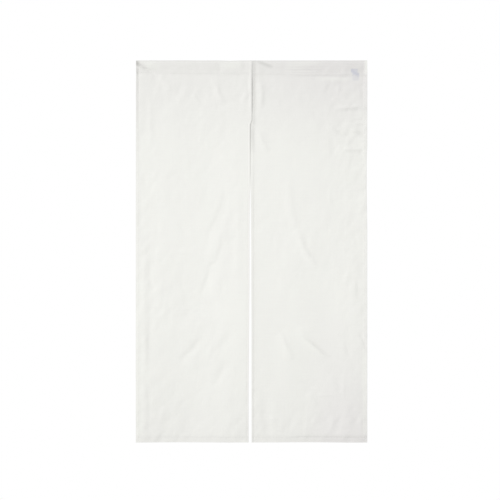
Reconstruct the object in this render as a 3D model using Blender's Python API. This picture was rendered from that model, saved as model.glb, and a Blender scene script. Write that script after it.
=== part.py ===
"""A noren: a doorway curtain of two plain cloth panels, lapped and sewn together at the top and
parted by a slit below, with the top turned over and sewn down as a pocket for a rod.

Metres. +Z is up, X runs across the doorway and -Y faces the viewer. The origin is the middle of the
top edge. The cloth hangs as it is seen: nearly flat, with soft folds that fan down and out from the
slit, puckers beside the seam and a pinched top left corner.
"""

import math
from collections import namedtuple

import bmesh
import bpy
from mathutils import Vector

MM = 0.001

# The whole curtain.
WIDTH = 0.850
DROP = 1.400
CLOTH = 1.2 * MM  # thickness of one layer
GAP = 0.3 * MM  # between pieces that are sewn together
LOOSE_GAP = 0.6 * MM  # between the heading and the label that hangs behind it
LAP_GAP = 1.3 * MM  # between the two panels where one laps over the other

# The rod pocket: the top turned over to the back and sewn down a little unevenly.
STITCH_DEPTH_LEFT = 46 * MM  # top edge to stitch line, at the curtain's left side
STITCH_DEPTH_RIGHT = 55 * MM
POCKET_RADIUS = 9 * MM  # of the cloth's middle where it goes over the rod
POCKET_CLOSES = 30 * MM  # below this depth the two layers lie together
LAYER_GAP = 0.4 * MM
STITCH_MARGIN = 4 * MM  # cloth sewn solid above the heading's lower edge
PINCH_SHARE = 0.35  # of a fold's rise that shows where the pocket is round

# Hems, turned to the back.
SIDE_HEM = 12 * MM
SLIT_HEM = 8 * MM
BOTTOM_HEM = 20 * MM
HEM_STEP = 1 * MM  # width of the step down from a hem to the single cloth
HEM_DIP = 0.6 * MM  # a side hem's stitch line draws the cloth in this far
EDGE_LIFT = 1.2 * MM  # the side edges curl forward this far near the top
EDGE_LIFT_ENDS = 0.40

# The centre seam and the slit below it.
SEAM_X = 5.0 * MM  # the seam's groove stands right of the middle
SEAM_LENGTH = 0.226
SEAM_FADE = 0.080  # the groove runs out over this length above the seam's end
GROOVE_DEPTH = 1.5 * MM
LIP_X = -6.0 * MM  # a rounded lip left of the groove
RIGHT_LIP_X = 17.0 * MM
LIP_RISE = 2.8 * MM
SEAM_REACH = 6.0 * MM  # half-width of the groove and of the lips
LAP_RETURN = 14 * MM  # behind the left panel's edge, the right one comes forward in this distance
LAP_ENDS = 0.46  # lower down the edges part, and nothing lies behind the left panel
LAP_FADE = 0.12
SLIT_CURL = 1.5 * MM  # the slit's edges curl back this far below the lap
CURL_REACH = 6.0 * MM

# How the two panels sway out of the plane, growing from the rod to the hem.
SWAY = 4.0 * MM
SWAY_PITCH = 0.42
SWAY_LEAN = 1.6  # radians of phase for each metre of drop
SECOND_SWAY = 0.4  # a second, shorter wave beside the first: its share, its pace and its start
SECOND_PACE = 1.7
SECOND_START = 1.0
FOLD_ENDS = 0.75  # a fold keeps more of its rise near its ends than a parabola would

# The care label, sewn by its top edge to the back of the heading.
LABEL_X = 366 * MM
LABEL_TOP = 30 * MM
LABEL_WIDTH = 25 * MM
LABEL_HEIGHT = 44 * MM

# Spacing of the faces that make the folds.
PANEL_COLUMNS = 15
HEADING_PITCH = 44 * MM
ROW_PITCH = 38 * MM
SEAM_ROW_PITCH = 16 * MM  # where the seam ends
SECOND_ROW_DEPTH = 72 * MM  # the first level row of a panel
SLIT_COLUMNS = [13 * MM, 20 * MM, 30 * MM]  # from a panel's inner edge, past its hem
HEADING_COLUMNS = [0.0, 6 * MM, 14 * MM, 26 * MM, 42 * MM, 64 * MM]  # from either end of the heading
POCKET_ROW_PITCH = 5 * MM
ROD_TURN = math.pi / 6  # a facet over the rod
LABEL_ROW_PITCH = 8 * MM
LABEL_COLUMN_PITCH = 9 * MM
SHARP_EDGE = math.radians(50)

# Where a panel's edges stand across the doorway, by depth below the top edge.
Edge = namedtuple("Edge", "depth x")
LEFT_OUTER_EDGE = [
    Edge(0.00, -0.4250),
    Edge(0.65, -0.4245),
    Edge(1.02, -0.4253),
    Edge(1.40, -0.4250),
]
LEFT_INNER_EDGE = [
    Edge(0.000, 0.0045),
    Edge(0.160, 0.0045),
    Edge(0.262, -0.0028),
    Edge(0.550, -0.0022),
    Edge(0.880, -0.0047),
    Edge(1.080, -0.0092),
    Edge(1.400, -0.0104),
]
RIGHT_INNER_EDGE = [
    Edge(0.000, -0.0035),
    Edge(0.160, -0.0035),
    Edge(0.262, -0.0108),
    Edge(0.500, 0.0006),
    Edge(1.400, 0.0016),
]
RIGHT_OUTER_EDGE = [
    Edge(0.00, 0.4250),
    Edge(0.20, 0.4248),
    Edge(0.40, 0.4228),
    Edge(0.62, 0.4248),
    Edge(1.40, 0.4252),
]

# Soft ridges (rise above 0) and troughs (below 0), in millimetres: x across, depth below the top edge.
# bow is how far the line bends aside halfway along, and reach is the fold's half-width.
Fold = namedtuple("Fold", "x0 depth0 x1 depth1 bow reach rise")
FOLDS = [
    # Left panel: short folds under the heading, then flutes that lean from the slit to the lower left.
    Fold(-354, 50, -325, 105, 0, 14, -1.6),
    Fold(-232, 100, -175, 160, 0, 15, -1.8),
    Fold(-132, 50, -108, 165, 0, 15, 2.2),
    Fold(-55, 420, -51, 880, 0, 16, 1.8),
    Fold(-80, 460, -170, 690, 6, 19, -2.4),
    Fold(-92, 600, -190, 880, 8, 19, -2.8),
    Fold(-178, 890, -262, 955, 0, 16, -2.2),
    Fold(-188, 1000, -278, 1105, 0, 17, -2.8),
    Fold(-70, 990, -150, 1095, 0, 17, -2.0),
    Fold(-90, 1110, -142, 1205, 0, 16, -2.0),
    Fold(-384, 620, -388, 1180, 0, 18, -1.6),
    # Right panel: the pucker beside the seam, folds that lean to the lower right, creases at the side.
    Fold(33, 55, 36, 175, 0, 12, 2.2),
    Fold(20, 250, 58, 335, 0, 13, 1.8),
    Fold(112, 420, 160, 660, -12, 19, 2.2),
    Fold(145, 620, 222, 760, -6, 17, 2.8),
    Fold(104, 975, 148, 1090, 0, 17, 2.2),
    Fold(165, 985, 272, 1100, 0, 18, 2.8),
    Fold(315, 168, 424, 160, 0, 15, 2.0),
    Fold(280, 255, 400, 285, 0, 15, -1.6),
    Fold(375, 440, 372, 830, 0, 17, -1.8),
    Fold(350, 970, 372, 1100, 0, 15, -1.8),
    Fold(12, 1180, 42, 1390, 0, 18, -2.2),
]
# Folds in the heading alone: the pinched corner, and the puckers at the seam.
HEADING_FOLDS = [
    Fold(-432, -4, -356, 48, 0, 7, -3.0),
    Fold(-430, 28, -408, 50, 0, 6, -2.0),
    Fold(-30, -2, -20, 40, 0, 7, -1.6),
    Fold(14, -4, 80, 30, 0, 8, -2.2),
]


def smooth(share):
    """Goes from 0 to 1 with no corner at either end."""
    share = min(1.0, max(0.0, share))
    return share * share * (3 - 2 * share)


def bump(distance, reach):
    """A round bump, 1 in the middle and nearly 0 at twice its reach."""
    return math.exp(-((distance / reach) ** 2))


def divide(start, end, parts):
    """Evenly spaced values that divide the way from start to end, both included, into parts."""
    return [start + (end - start) * i / parts for i in range(parts + 1)]


def spread(start, end, pitch):
    """Evenly spaced values from start to end, both included, about one pitch apart."""
    return divide(start, end, max(1, round(abs(end - start) / pitch)))


def edge_x(edges, depth):
    """Where an edge stands at this depth, read smoothly between the table's rows."""
    for upper, lower in zip(edges, edges[1:]):
        if depth <= lower.depth:
            share = smooth((depth - upper.depth) / (lower.depth - upper.depth))
            return upper.x + (lower.x - upper.x) * share
    return edges[-1].x


def stitch_depth(x):
    """Depth of the heading's stitch line, which slopes a little across the curtain."""
    share = (x + WIDTH / 2) / WIDTH
    return STITCH_DEPTH_LEFT + (STITCH_DEPTH_RIGHT - STITCH_DEPTH_LEFT) * share


def fold_rise(fold, x, depth):
    """How far one fold lifts the cloth towards the viewer at a point."""
    run, fall = (fold.x1 - fold.x0) * MM, (fold.depth1 - fold.depth0) * MM
    from_x, from_depth = x - fold.x0 * MM, depth - fold.depth0 * MM
    length = math.hypot(run, fall)
    share = (from_x * run + from_depth * fall) / length**2
    if not 0 < share < 1:
        return 0.0
    middle = 4 * share * (1 - share)
    aside = (from_x * fall - from_depth * run) / length - fold.bow * MM * middle
    return fold.rise * MM * bump(aside, fold.reach * MM) * middle**FOLD_ENDS


def sway(x, depth):
    """The broad, slow waves of hanging cloth, held straight by the rod and free at the hem."""
    phase = 2 * math.pi * x / SWAY_PITCH + SWAY_LEAN * depth
    second = SECOND_SWAY * math.sin(SECOND_PACE * phase + SECOND_START)
    return SWAY * (depth / DROP) * (math.sin(phase) + second)


def seam_rise(x, depth):
    """The groove at the centre seam between two rounded lips, all gone where the seam ends."""
    held = smooth((SEAM_LENGTH - depth) / SEAM_FADE)
    lips = bump(x - LIP_X, SEAM_REACH) + bump(x - RIGHT_LIP_X, SEAM_REACH)
    return held * (LIP_RISE * lips - GROOVE_DEPTH * bump(x - SEAM_X, SEAM_REACH))


def side_rise(x, depth):
    """The side hems: a dip along the stitch line and, near the top, an edge that curls forward."""
    from_edge = WIDTH / 2 - abs(x)
    curl = EDGE_LIFT * (1 - smooth(depth / EDGE_LIFT_ENDS))
    return curl * bump(from_edge, SIDE_HEM / 2) - HEM_DIP * bump(from_edge - SIDE_HEM, SIDE_HEM / 2)


def slit_rise(x, depth):
    """The slit's edges: the left one lifts where it laps over the right one, and both curl back below."""
    parted = smooth((depth - LAP_ENDS) / LAP_FADE)
    from_left = x - edge_x(LEFT_INNER_EDGE, depth)
    from_right = x - edge_x(RIGHT_INNER_EDGE, depth)
    lifted = LIP_RISE * smooth((depth - SEAM_LENGTH) / SEAM_FADE + 0.5) * bump(from_left, CURL_REACH)
    curled = SLIT_CURL * (bump(from_left, CURL_REACH) + bump(from_right, CURL_REACH)) / 2
    return lifted * (1 - parted) - curled * parted


def rise(x, depth):
    """How far the cloth's middle stands towards the viewer, in either panel."""
    folds = sum(fold_rise(fold, x, depth) for fold in FOLDS)
    return folds + sway(x, depth) + seam_rise(x, depth) + side_rise(x, depth) + slit_rise(x, depth)


def lap(x, depth):
    """How far the right panel lies behind the left one, whose hem it passes under at the seam."""
    behind = 2 * CLOTH + LAP_GAP
    returned = smooth((x - edge_x(LEFT_INNER_EDGE, depth) - HEM_STEP) / LAP_RETURN)
    parted = smooth((depth - LAP_ENDS) / LAP_FADE)
    return behind * (1 - returned) * (1 - parted)


def cloth_point(x, depth, ahead):
    """A point this far in front of the cloth's middle, square to the cloth."""
    step = 1 * MM
    across = (rise(x + step, depth) - rise(x - step, depth)) / (2 * step)
    down = (rise(x, depth + step) - rise(x, depth - step)) / (2 * step)
    normal = Vector((-across, -1, down)).normalized()
    front_layer = -(CLOTH + LAYER_GAP) / 2
    return Vector((x, front_layer - rise(x, depth), -depth)) + normal * ahead


def grid_faces(mesh, rows):
    """Triangles between rows of vertices, split so that their long sides run along the folds."""
    for upper, lower in zip(rows, rows[1:]):
        for i in range(len(upper) - 1):
            mesh.faces.new((upper[i], upper[i + 1], lower[i]))
            mesh.faces.new((upper[i + 1], lower[i + 1], lower[i]))


def new_object(name, mesh, material):
    """Turns a bmesh into a scene object with its faces pointing out."""
    bmesh.ops.recalc_face_normals(mesh, faces=mesh.faces)
    data = bpy.data.meshes.new(name)
    mesh.to_mesh(data)
    mesh.free()
    data.materials.append(material)
    data.shade_smooth()
    data.set_sharp_from_angle(angle=SHARP_EDGE)
    made = bpy.data.objects.new(name, data)
    bpy.context.scene.collection.objects.link(made)
    return made


def closed_sheet(name, material, front, back):
    """A sheet from its front and back skins, two grids of points of one size, closed round the rim."""
    mesh = bmesh.new()
    skins = [[[mesh.verts.new(point) for point in row] for row in skin] for skin in (front, back)]
    for skin in skins:
        grid_faces(mesh, skin)
    for end in (0, -1):
        grid_faces(mesh, [skin[end] for skin in skins])
        grid_faces(mesh, [[row[end] for row in skin] for skin in skins])
    return new_object(name, mesh, material)


def panel_depths():
    """Depths of a panel's rows below the first, which follows the heading's stitch line.

    Rows stand closer where the seam ends, and two of them make the step of the bottom hem.
    """
    seam_end = spread(SEAM_LENGTH - SEAM_FADE, SEAM_LENGTH + SEAM_FADE / 2, SEAM_ROW_PITCH)
    hem = [DROP - BOTTOM_HEM - HEM_STEP, DROP - BOTTOM_HEM, DROP]
    upper = spread(SECOND_ROW_DEPTH, seam_end[0], ROW_PITCH)[:-1]
    lower = spread(seam_end[-1], hem[0], ROW_PITCH)[1:]
    return upper + seam_end + lower + hem[1:]


def panel_columns(outer, inner):
    """Columns from the outer edge to the inner one, which follow the hems and share out the rest."""
    way_in = math.copysign(1, inner - outer)
    near_outer = [0.0, SIDE_HEM, SIDE_HEM + HEM_STEP]
    near_inner = [0.0, SLIT_HEM / 2, SLIT_HEM, SLIT_HEM + HEM_STEP] + SLIT_COLUMNS
    middle = divide(outer + way_in * near_outer[-1], inner - way_in * near_inner[-1], PANEL_COLUMNS)
    outer_hem = [outer + way_in * distance for distance in near_outer[:-1]]
    inner_hem = [inner - way_in * distance for distance in reversed(near_inner[:-1])]
    return outer_hem + middle + inner_hem


def panel(name, material, outer_edge, inner_edge, behind):
    """One panel, from the heading's stitch line to the bottom hem, with its hems turned to the back.

    behind(x, depth) tells how far the panel lies behind the curtain's front.
    """
    front, back = [], []
    for row_depth in [None] + panel_depths():
        nominal = row_depth or stitch_depth(0)
        outer, inner = edge_x(outer_edge, nominal), edge_x(inner_edge, nominal)
        in_bottom_hem = nominal > DROP - BOTTOM_HEM - HEM_STEP / 2
        front_row, back_row = [], []
        for x in panel_columns(outer, inner):
            depth = row_depth or stitch_depth(x) + GAP
            in_side_hem = abs(x - outer) < SIDE_HEM + HEM_STEP / 2
            in_slit_hem = abs(x - inner) < SLIT_HEM + HEM_STEP / 2
            turned = CLOTH if in_side_hem or in_slit_hem or in_bottom_hem else 0.0
            middle = -behind(x, depth)
            front_row.append(cloth_point(x, depth, middle + CLOTH / 2))
            back_row.append(cloth_point(x, depth, middle - CLOTH / 2 - turned))
        front.append(front_row)
        back.append(back_row)
    return closed_sheet(name, material, front, back)


def pocket_half_width(depth):
    """Half the distance between the heading's two layers below the rod, closing to the stitch line."""
    together = (CLOTH + LAYER_GAP) / 2
    share = smooth((depth - POCKET_RADIUS) / (POCKET_CLOSES - POCKET_RADIUS))
    return POCKET_RADIUS + (together - POCKET_RADIUS) * share


def pocket_slope(depth):
    """How fast the front layer comes nearer to the middle as it goes down, as an angle."""
    step = 0.1 * MM
    return math.atan2(pocket_half_width(depth - step) - pocket_half_width(depth + step), 2 * step)


def heading_section(bottom, offset):
    """The heading's section as (y, depth), up the front, over the rod and down the back.

    The line runs this far outside the middle of the cloth, whose own top is at depth CLOTH / 2.
    """
    closed = [bottom, POCKET_CLOSES + POCKET_ROW_PITCH]
    depths = closed + spread(POCKET_CLOSES, POCKET_RADIUS, POCKET_ROW_PITCH)
    half = []
    for depth in depths:
        slope = pocket_slope(depth)
        half.append((pocket_half_width(depth) + offset * math.cos(slope), depth - offset * math.sin(slope)))
    radius = POCKET_RADIUS + offset
    for turn in spread(0, math.pi / 2, ROD_TURN)[1:]:
        half.append((radius * math.cos(turn), POCKET_RADIUS + CLOTH / 2 - radius * math.sin(turn)))
    front = [(-y, depth) for y, depth in half]
    return front + list(reversed(half[:-1]))


def heading_rise(x, depth):
    """A fold's rise in the heading: all of it where the layers lie together, and less above."""
    closed = smooth((depth - POCKET_RADIUS) / (POCKET_CLOSES - POCKET_RADIUS))
    pinches = sum(fold_rise(fold, x, depth) for fold in HEADING_FOLDS)
    return (rise(x, depth) + pinches) * (PINCH_SHARE + (1 - PINCH_SHARE) * closed)


def heading(name, material, start, end):
    """Half of the heading: a tube of cloth, open at both ends and closed below by its stitch line."""
    middle = spread(start + HEADING_COLUMNS[-1], end - HEADING_COLUMNS[-1], HEADING_PITCH)
    stations = [start + distance for distance in HEADING_COLUMNS[:-1]] + middle
    stations += [end - distance for distance in reversed(HEADING_COLUMNS[:-1])]
    mesh = bmesh.new()
    skins = []
    for offset, above_stitches in ((CLOTH / 2, 0.0), (-CLOTH / 2, STITCH_MARGIN)):
        rings = []
        for x in stations:
            section = heading_section(stitch_depth(x) - above_stitches, offset)
            ring = [mesh.verts.new((x, y - heading_rise(x, depth), -depth)) for y, depth in section]
            rings.append(ring + ring[:1])
        skins.append(rings)
    for rings in skins:
        grid_faces(mesh, rings)
    for end_rings in zip(*(rings[::len(rings) - 1] for rings in skins)):
        grid_faces(mesh, end_rings)
    return new_object(name, mesh, material)


def label(material):
    """The blank care label, a short tape that hangs behind the heading and the right panel."""
    front, back = [], []
    for depth in spread(LABEL_TOP, LABEL_TOP + LABEL_HEIGHT, LABEL_ROW_PITCH):
        y = pocket_half_width(depth) + CLOTH / 2 + LOOSE_GAP
        columns = spread(LABEL_X, LABEL_X + LABEL_WIDTH, LABEL_COLUMN_PITCH)
        front.append([Vector((x, y - rise(x, depth), -depth)) for x in columns])
        back.append([point + Vector((0, CLOTH, 0)) for point in front[-1]])
    return closed_sheet("care_label", material, front, back)


def plain_material(name, colour, roughness):
    """A plain Principled material."""
    material = bpy.data.materials.new(name)
    material.use_nodes = True
    shader = material.node_tree.nodes["Principled BSDF"]
    shader.inputs["Base Color"].default_value = (*colour, 1.0)
    shader.inputs["Roughness"].default_value = roughness
    shader.inputs["Metallic"].default_value = 0.0
    return material


def main():
    """Clears the scene and makes the curtain's pieces."""
    for obj in list(bpy.data.objects):
        bpy.data.objects.remove(obj)
    cloth = plain_material("off_white_cloth", (0.87, 0.88, 0.84), 0.9)
    tape = plain_material("label_tape", (0.74, 0.74, 0.82), 0.6)
    panel("left_panel", cloth, LEFT_OUTER_EDGE, LEFT_INNER_EDGE, lambda x, depth: 0.0)
    panel("right_panel", cloth, RIGHT_OUTER_EDGE, RIGHT_INNER_EDGE, lap)
    heading("left_heading", cloth, -WIDTH / 2, SEAM_X - GAP / 2)
    heading("right_heading", cloth, SEAM_X + GAP / 2, WIDTH / 2)
    label(tape)


main()
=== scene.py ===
"""The looks of a noren: a doorway curtain of two off-white cloth panels, lapped and sewn at the top.

Metres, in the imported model's frame. +Z is up, X runs across the doorway and -Y faces the viewer; the
origin is the middle of the top edge, and a depth is a distance below it. Each panel is one cloth from
its bottom hem up the front, over the rod's place and down the back to the heading's stitch line.
"""

import logging
import math
from collections.abc import Callable, Sequence
from dataclasses import dataclass
from enum import Enum

import bpy
import numpy as np
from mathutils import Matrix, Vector


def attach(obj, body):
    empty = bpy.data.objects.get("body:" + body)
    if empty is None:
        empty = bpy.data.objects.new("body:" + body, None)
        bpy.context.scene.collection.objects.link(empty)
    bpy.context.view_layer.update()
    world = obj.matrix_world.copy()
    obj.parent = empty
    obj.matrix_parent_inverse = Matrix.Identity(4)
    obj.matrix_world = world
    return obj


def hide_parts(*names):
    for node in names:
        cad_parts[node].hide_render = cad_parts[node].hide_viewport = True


MM = 0.001
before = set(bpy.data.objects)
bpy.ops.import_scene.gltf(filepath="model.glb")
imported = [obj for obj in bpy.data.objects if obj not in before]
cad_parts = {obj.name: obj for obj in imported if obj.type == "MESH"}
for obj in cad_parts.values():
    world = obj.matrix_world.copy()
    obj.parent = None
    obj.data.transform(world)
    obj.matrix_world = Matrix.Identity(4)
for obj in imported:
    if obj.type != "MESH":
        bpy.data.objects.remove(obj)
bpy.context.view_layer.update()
LOG = logging.getLogger("noren")
BODY = "root"

Array = np.ndarray
Row = tuple[Array, Array]  # a row of stitches: its points, and the turns of the strands at each


class Side(Enum):
    """One of the curtain's two panels, as the viewer sees them."""

    LEFT = -1
    RIGHT = 1

    @property
    def inward(self) -> int:
        """The way across the doorway from this side to the middle."""
        return -self.value


class Face(Enum):
    """A face of the cloth: the one that faces out, or the one that the hems are turned to."""

    OUTER = 1
    INNER = -1


def smooth(share: Array | float) -> Array:
    """Go from 0 to 1 with no corner at either end."""
    held = np.clip(share, 0.0, 1.0)
    return held * held * (3 - 2 * held)


def bump(distance: Array | float, reach: Array | float) -> Array:
    """Give a round bump, 1 in the middle and nearly 0 at twice its reach."""
    return np.exp(-((distance / reach) ** 2))


def spread(start: float, end: float, pitch: float) -> Array:
    """Space values evenly from start to end, both included, about one pitch apart."""
    return np.linspace(start, end, max(1, round(abs(end - start) / pitch)) + 1)


# ---------------------------------------------------------------------------------------------------
# Forms that the cloth's shape is put together from
# ---------------------------------------------------------------------------------------------------


@dataclass(frozen=True)
class Ramp:
    """A soft step from 0 to 1, which begins at start and is over a length further on."""

    start: float
    length: float

    def at(self, place: Array) -> Array:
        """Tell how far the step has risen at each place."""
        return smooth((place - self.start) / self.length)


@dataclass(frozen=True)
class Swell:
    """A round ridge along a line, or a hollow where its rise is below nothing."""

    middle: float
    reach: float
    rise: float

    def at(self, place: Array) -> Array:
        """Give the ridge's rise at each place."""
        return self.rise * bump(place - self.middle, self.reach)


@dataclass(frozen=True)
class Unevenness:
    """Irregular small waves, the same on every run, each pitch wide and fall long."""

    seed: int
    pitch: float = math.inf
    fall: float = math.inf
    start: tuple[float, float] = (0.0, 0.0)  # the column and row of waves at the origin
    slant: float = 0.0  # the waves move this much to the left for each metre down
    cells: int = 97  # and repeat after so many

    def over(self, x: Array, depth: Array) -> Array:
        """Read the waves over a surface.

        Args:
            x: Places across the doorway.
            depth: Depths below the top edge.

        Returns:
            Heights from -1 to 1.
        """
        lattice = np.random.default_rng(self.seed).uniform(-1, 1, (self.cells, self.cells))
        across = (x + self.slant * depth) / self.pitch + self.start[0]
        down = depth / self.fall + self.start[1]
        column, row = np.floor(across).astype(int), np.floor(down).astype(int)
        to_right, to_below = smooth(across - column), smooth(down - row)

        def corner(right: int, below: int) -> Array:
            """Read the lattice at one corner of each cell."""
            return lattice[(row + below) % self.cells, (column + right) % self.cells]

        upper = corner(0, 0) * (1 - to_right) + corner(1, 0) * to_right
        lower = corner(0, 1) * (1 - to_right) + corner(1, 1) * to_right
        return upper * (1 - to_below) + lower * to_below


@dataclass(frozen=True)
class Fold:
    """A soft ridge or trough between two points, given across and below the top edge, in millimetres.

    The line bends aside by bow halfway along, reach is the fold's half-width, and rise is how far its
    crest stands out towards the viewer, or below nothing how far its bottom lies back.
    """

    x0: float
    depth0: float
    x1: float
    depth1: float
    bow: float
    reach: float
    rise: float
    steep: float = 0.0  # the side away from the light is steeper by this share, the other gentler
    ends: float = 0.75  # under 1 the fold keeps its rise near its ends, over 1 it tapers

    def lift(self, x: Array, depth: Array) -> Array:
        """Work out how far this fold lifts the cloth.

        Args:
            x: Places across the doorway.
            depth: Depths below the top edge.

        Returns:
            The lift at each place, in metres.
        """
        run, fall = (self.x1 - self.x0) * MM, (self.depth1 - self.depth0) * MM
        from_x, from_depth = x - self.x0 * MM, depth - self.depth0 * MM
        length = math.hypot(run, fall)
        share = np.clip((from_x * run + from_depth * fall) / length**2, 0.0, 1.0)
        middle = 4 * share * (1 - share)
        aside = (from_x * fall - from_depth * run) / length - self.bow * MM * middle
        reach = self.reach * MM * (1 - self.steep * np.sign(aside) * math.copysign(1, self.rise))
        return self.rise * MM * bump(aside, reach) * middle**self.ends


@dataclass(frozen=True)
class EdgeLine:
    """Where an edge of a panel stands across the doorway: pairs of a depth and a place, in metres."""

    points: tuple[tuple[float, float], ...]
    ripple: float = 0.0  # the edge wanders aside this far
    ripple_pitch: float = 21 * MM
    seed: int = 0

    def x(self, depth: Array) -> Array:
        """Read the edge smoothly between its points.

        Args:
            depth: Depths below the top edge.

        Returns:
            The place across the doorway at each depth.
        """
        depths = np.array([point[0] for point in self.points])
        places = np.array([point[1] for point in self.points])
        upper = np.clip(np.searchsorted(depths, depth, side="right") - 1, 0, len(depths) - 2)
        share = (depth - depths[upper]) / (depths[upper + 1] - depths[upper])
        ripples = Unevenness(self.seed, fall=self.ripple_pitch, start=(0.5, 0.0))
        wander = self.ripple * ripples.over(0 * depth, depth)
        return places[upper] + (places[upper + 1] - places[upper]) * smooth(share) + wander


# ---------------------------------------------------------------------------------------------------
# The curtain's cut, and how its cloth hangs
# ---------------------------------------------------------------------------------------------------


@dataclass(frozen=True)
class Pattern:
    """The curtain as it is cut and sewn: its sizes, its hems, its stitch lines and its edges."""

    width: float = 0.850
    drop: float = 1.400
    cloth: float = 0.7 * MM  # one layer
    panel_cut: tuple[float, float] = (0.467, 1.530)  # a panel's cloth, laid flat

    # The heading.
    stitch_depth_left: float = 46 * MM
    stitch_depth_right: float = 55 * MM
    turned_over: float = 2.6 * MM  # the back layer ends this far below the stitch line
    below_heading: Ramp = Ramp(50 * MM, 20 * MM)

    # Hems.
    side_hem: float = 12 * MM
    slit_hem: float = 10.4 * MM
    bottom_hem: float = 20 * MM
    bottom_stitch: float = 18.5 * MM
    slit_stitch: float = 8.2 * MM
    slit_stitch_from: float = 8.9 * MM  # the right panel's line of stitches is never further left

    # The centre seam, which fades out over a short way at its lower end.
    seam_x: float = 5.8 * MM
    seam_length: float = 0.226
    seam_fade: float = 0.070

    left_outer: EdgeLine = EdgeLine(
        ((0.0, -0.4233), (0.10, -0.4241), (0.60, -0.4245), (1.02, -0.4246), (1.40, -0.4242)),
        ripple=0.35 * MM,
        seed=61,
    )
    right_outer: EdgeLine = EdgeLine(
        (
            (0.00, 0.4230),
            (0.08, 0.4238),
            (0.30, 0.4238),
            (0.38, 0.4216),
            (0.47, 0.4220),
            (0.62, 0.4235),
            (1.40, 0.4236),
        ),
        ripple=0.35 * MM,
        seed=62,
    )
    left_inner: EdgeLine = EdgeLine(
        (
            (0.000, 0.0010),
            (0.216, 0.0010),
            (0.242, -0.0062),
            (0.470, -0.0061),
            (0.520, -0.0068),
            (0.600, -0.0077),
            (0.800, -0.0078),
            (0.925, -0.0090),
            (1.030, -0.0099),
            (1.230, -0.0112),
            (1.400, -0.0110),
        )
    )
    right_inner: EdgeLine = EdgeLine(
        (
            (0.000, 0.0017),
            (0.012, 0.0017),
            (0.030, -0.0012),
            (0.050, -0.0012),
            (0.072, -0.0060),
            (0.200, -0.0060),
            (0.240, -0.0108),
            (0.380, -0.0090),
            (0.450, -0.0060),
            (0.500, -0.0036),
            (0.566, -0.0026),
            (0.720, -0.0014),
            (1.030, -0.0004),
            (1.400, -0.0001),
        )
    )

    def outer(self, side: Side) -> EdgeLine:
        """Give a panel's edge at the curtain's side."""
        return self.left_outer if side is Side.LEFT else self.right_outer

    def inner(self, side: Side) -> EdgeLine:
        """Give a panel's edge at the seam and the slit."""
        return self.left_inner if side is Side.LEFT else self.right_inner

    def from_side(self, x: Array) -> Array:
        """Measure how far in from the nearer side each place lies."""
        return self.width / 2 - np.abs(x)

    def stitch_depth(self, x: Array | float) -> Array | float:
        """Give the depth of the heading's stitch line, which slopes a little across the curtain."""
        share = (x + self.width / 2) / self.width
        return self.stitch_depth_left + (self.stitch_depth_right - self.stitch_depth_left) * share

    def slit_stitch_x(self, side: Side, depth: Array) -> Array:
        """Place the line of stitches along a panel's slit hem.

        Args:
            side: The panel.
            depth: Depths below the top edge.

        Returns:
            The line's place across the doorway at each depth.
        """
        if side is Side.LEFT:
            return self.left_inner.x(depth) - self.slit_stitch
        return np.maximum(self.right_inner.x(depth) + self.slit_stitch, self.slit_stitch_from)


@dataclass(frozen=True)
class RodPocket:
    """The heading's section: round over the rod's place, then closing to the stitch line."""

    pattern: Pattern
    radius: float = 8.4 * MM
    closes: float = 2 * MM  # above the stitch line
    straight: float = 0.45  # the share of the way there that goes straight
    layers_apart: float = 1.6 * MM  # between the layers' middles where they lie together
    hem_apart: float = 0.5 * MM  # what a side hem adds to half of that
    hem_fade: float = 6 * MM
    seam_reach: float = 8 * MM  # the stitches don't draw the layers together at the seam
    pinch_reach: float = 2.2 * MM
    pinch_clear: float = 0.03 * MM

    @property
    def quarter(self) -> float:
        """The way along the cloth from the top of the rod's place to the side of it."""
        return self.radius + self.pattern.cloth / 2

    def closed(self, x: Array, depth: Array) -> Array:
        """Tell how far the pocket has closed.

        Args:
            x: Places across the doorway.
            depth: Depths below the top edge.

        Returns:
            0 at the rod and 1 at the stitch line.
        """
        room = self.pattern.stitch_depth(x) - self.closes - self.radius
        share = np.clip((depth - self.radius) / room, 0.0, 1.0)
        return self.straight * share + (1 - self.straight) * smooth(share)

    def half_width(self, x: Array, depth: Array) -> Array:
        """Give half the distance between the heading's layers, which the stitches draw together.

        Args:
            x: Places across the doorway.
            depth: Depths below the top edge.

        Returns:
            The distance from the curtain's middle plane to a layer's middle.
        """
        pattern = self.pattern
        at_hem = 1 - smooth((pattern.from_side(x) - pattern.side_hem) / self.hem_fade)
        at_seam = bump(x - pattern.seam_x, self.seam_reach)
        pinch = (self.layers_apart - pattern.cloth) / 2 - self.pinch_clear
        pinch = pinch * bump(depth - pattern.stitch_depth(x), self.pinch_reach)
        pinch = pinch * (1 - at_hem) * (1 - at_seam)
        together = self.layers_apart / 2 + self.hem_apart * at_hem - pinch
        return self.radius + (together - self.radius) * self.closed(x, depth)

    def section(self, x: Array, way: Array) -> tuple[Array, Array]:
        """Place a point of the cloth's middle on the curtain's section.

        Args:
            x: Places across the doorway.
            way: The way along the cloth: a depth on the front, less than nothing on the back, and
                over the rod the numbers between.

        Returns:
            How far the point lies behind the curtain's middle plane, and its depth.
        """
        turn = np.clip((1 - way / self.quarter) * math.pi / 2, 0, math.pi)
        on_rod = np.abs(way) < self.quarter
        depth = np.where(on_rod, self.quarter - self.radius * np.sin(turn), np.abs(way))
        beside = np.sign(-way) * self.half_width(x, depth)
        return np.where(on_rod, -self.radius * np.cos(turn), beside), depth


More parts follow.
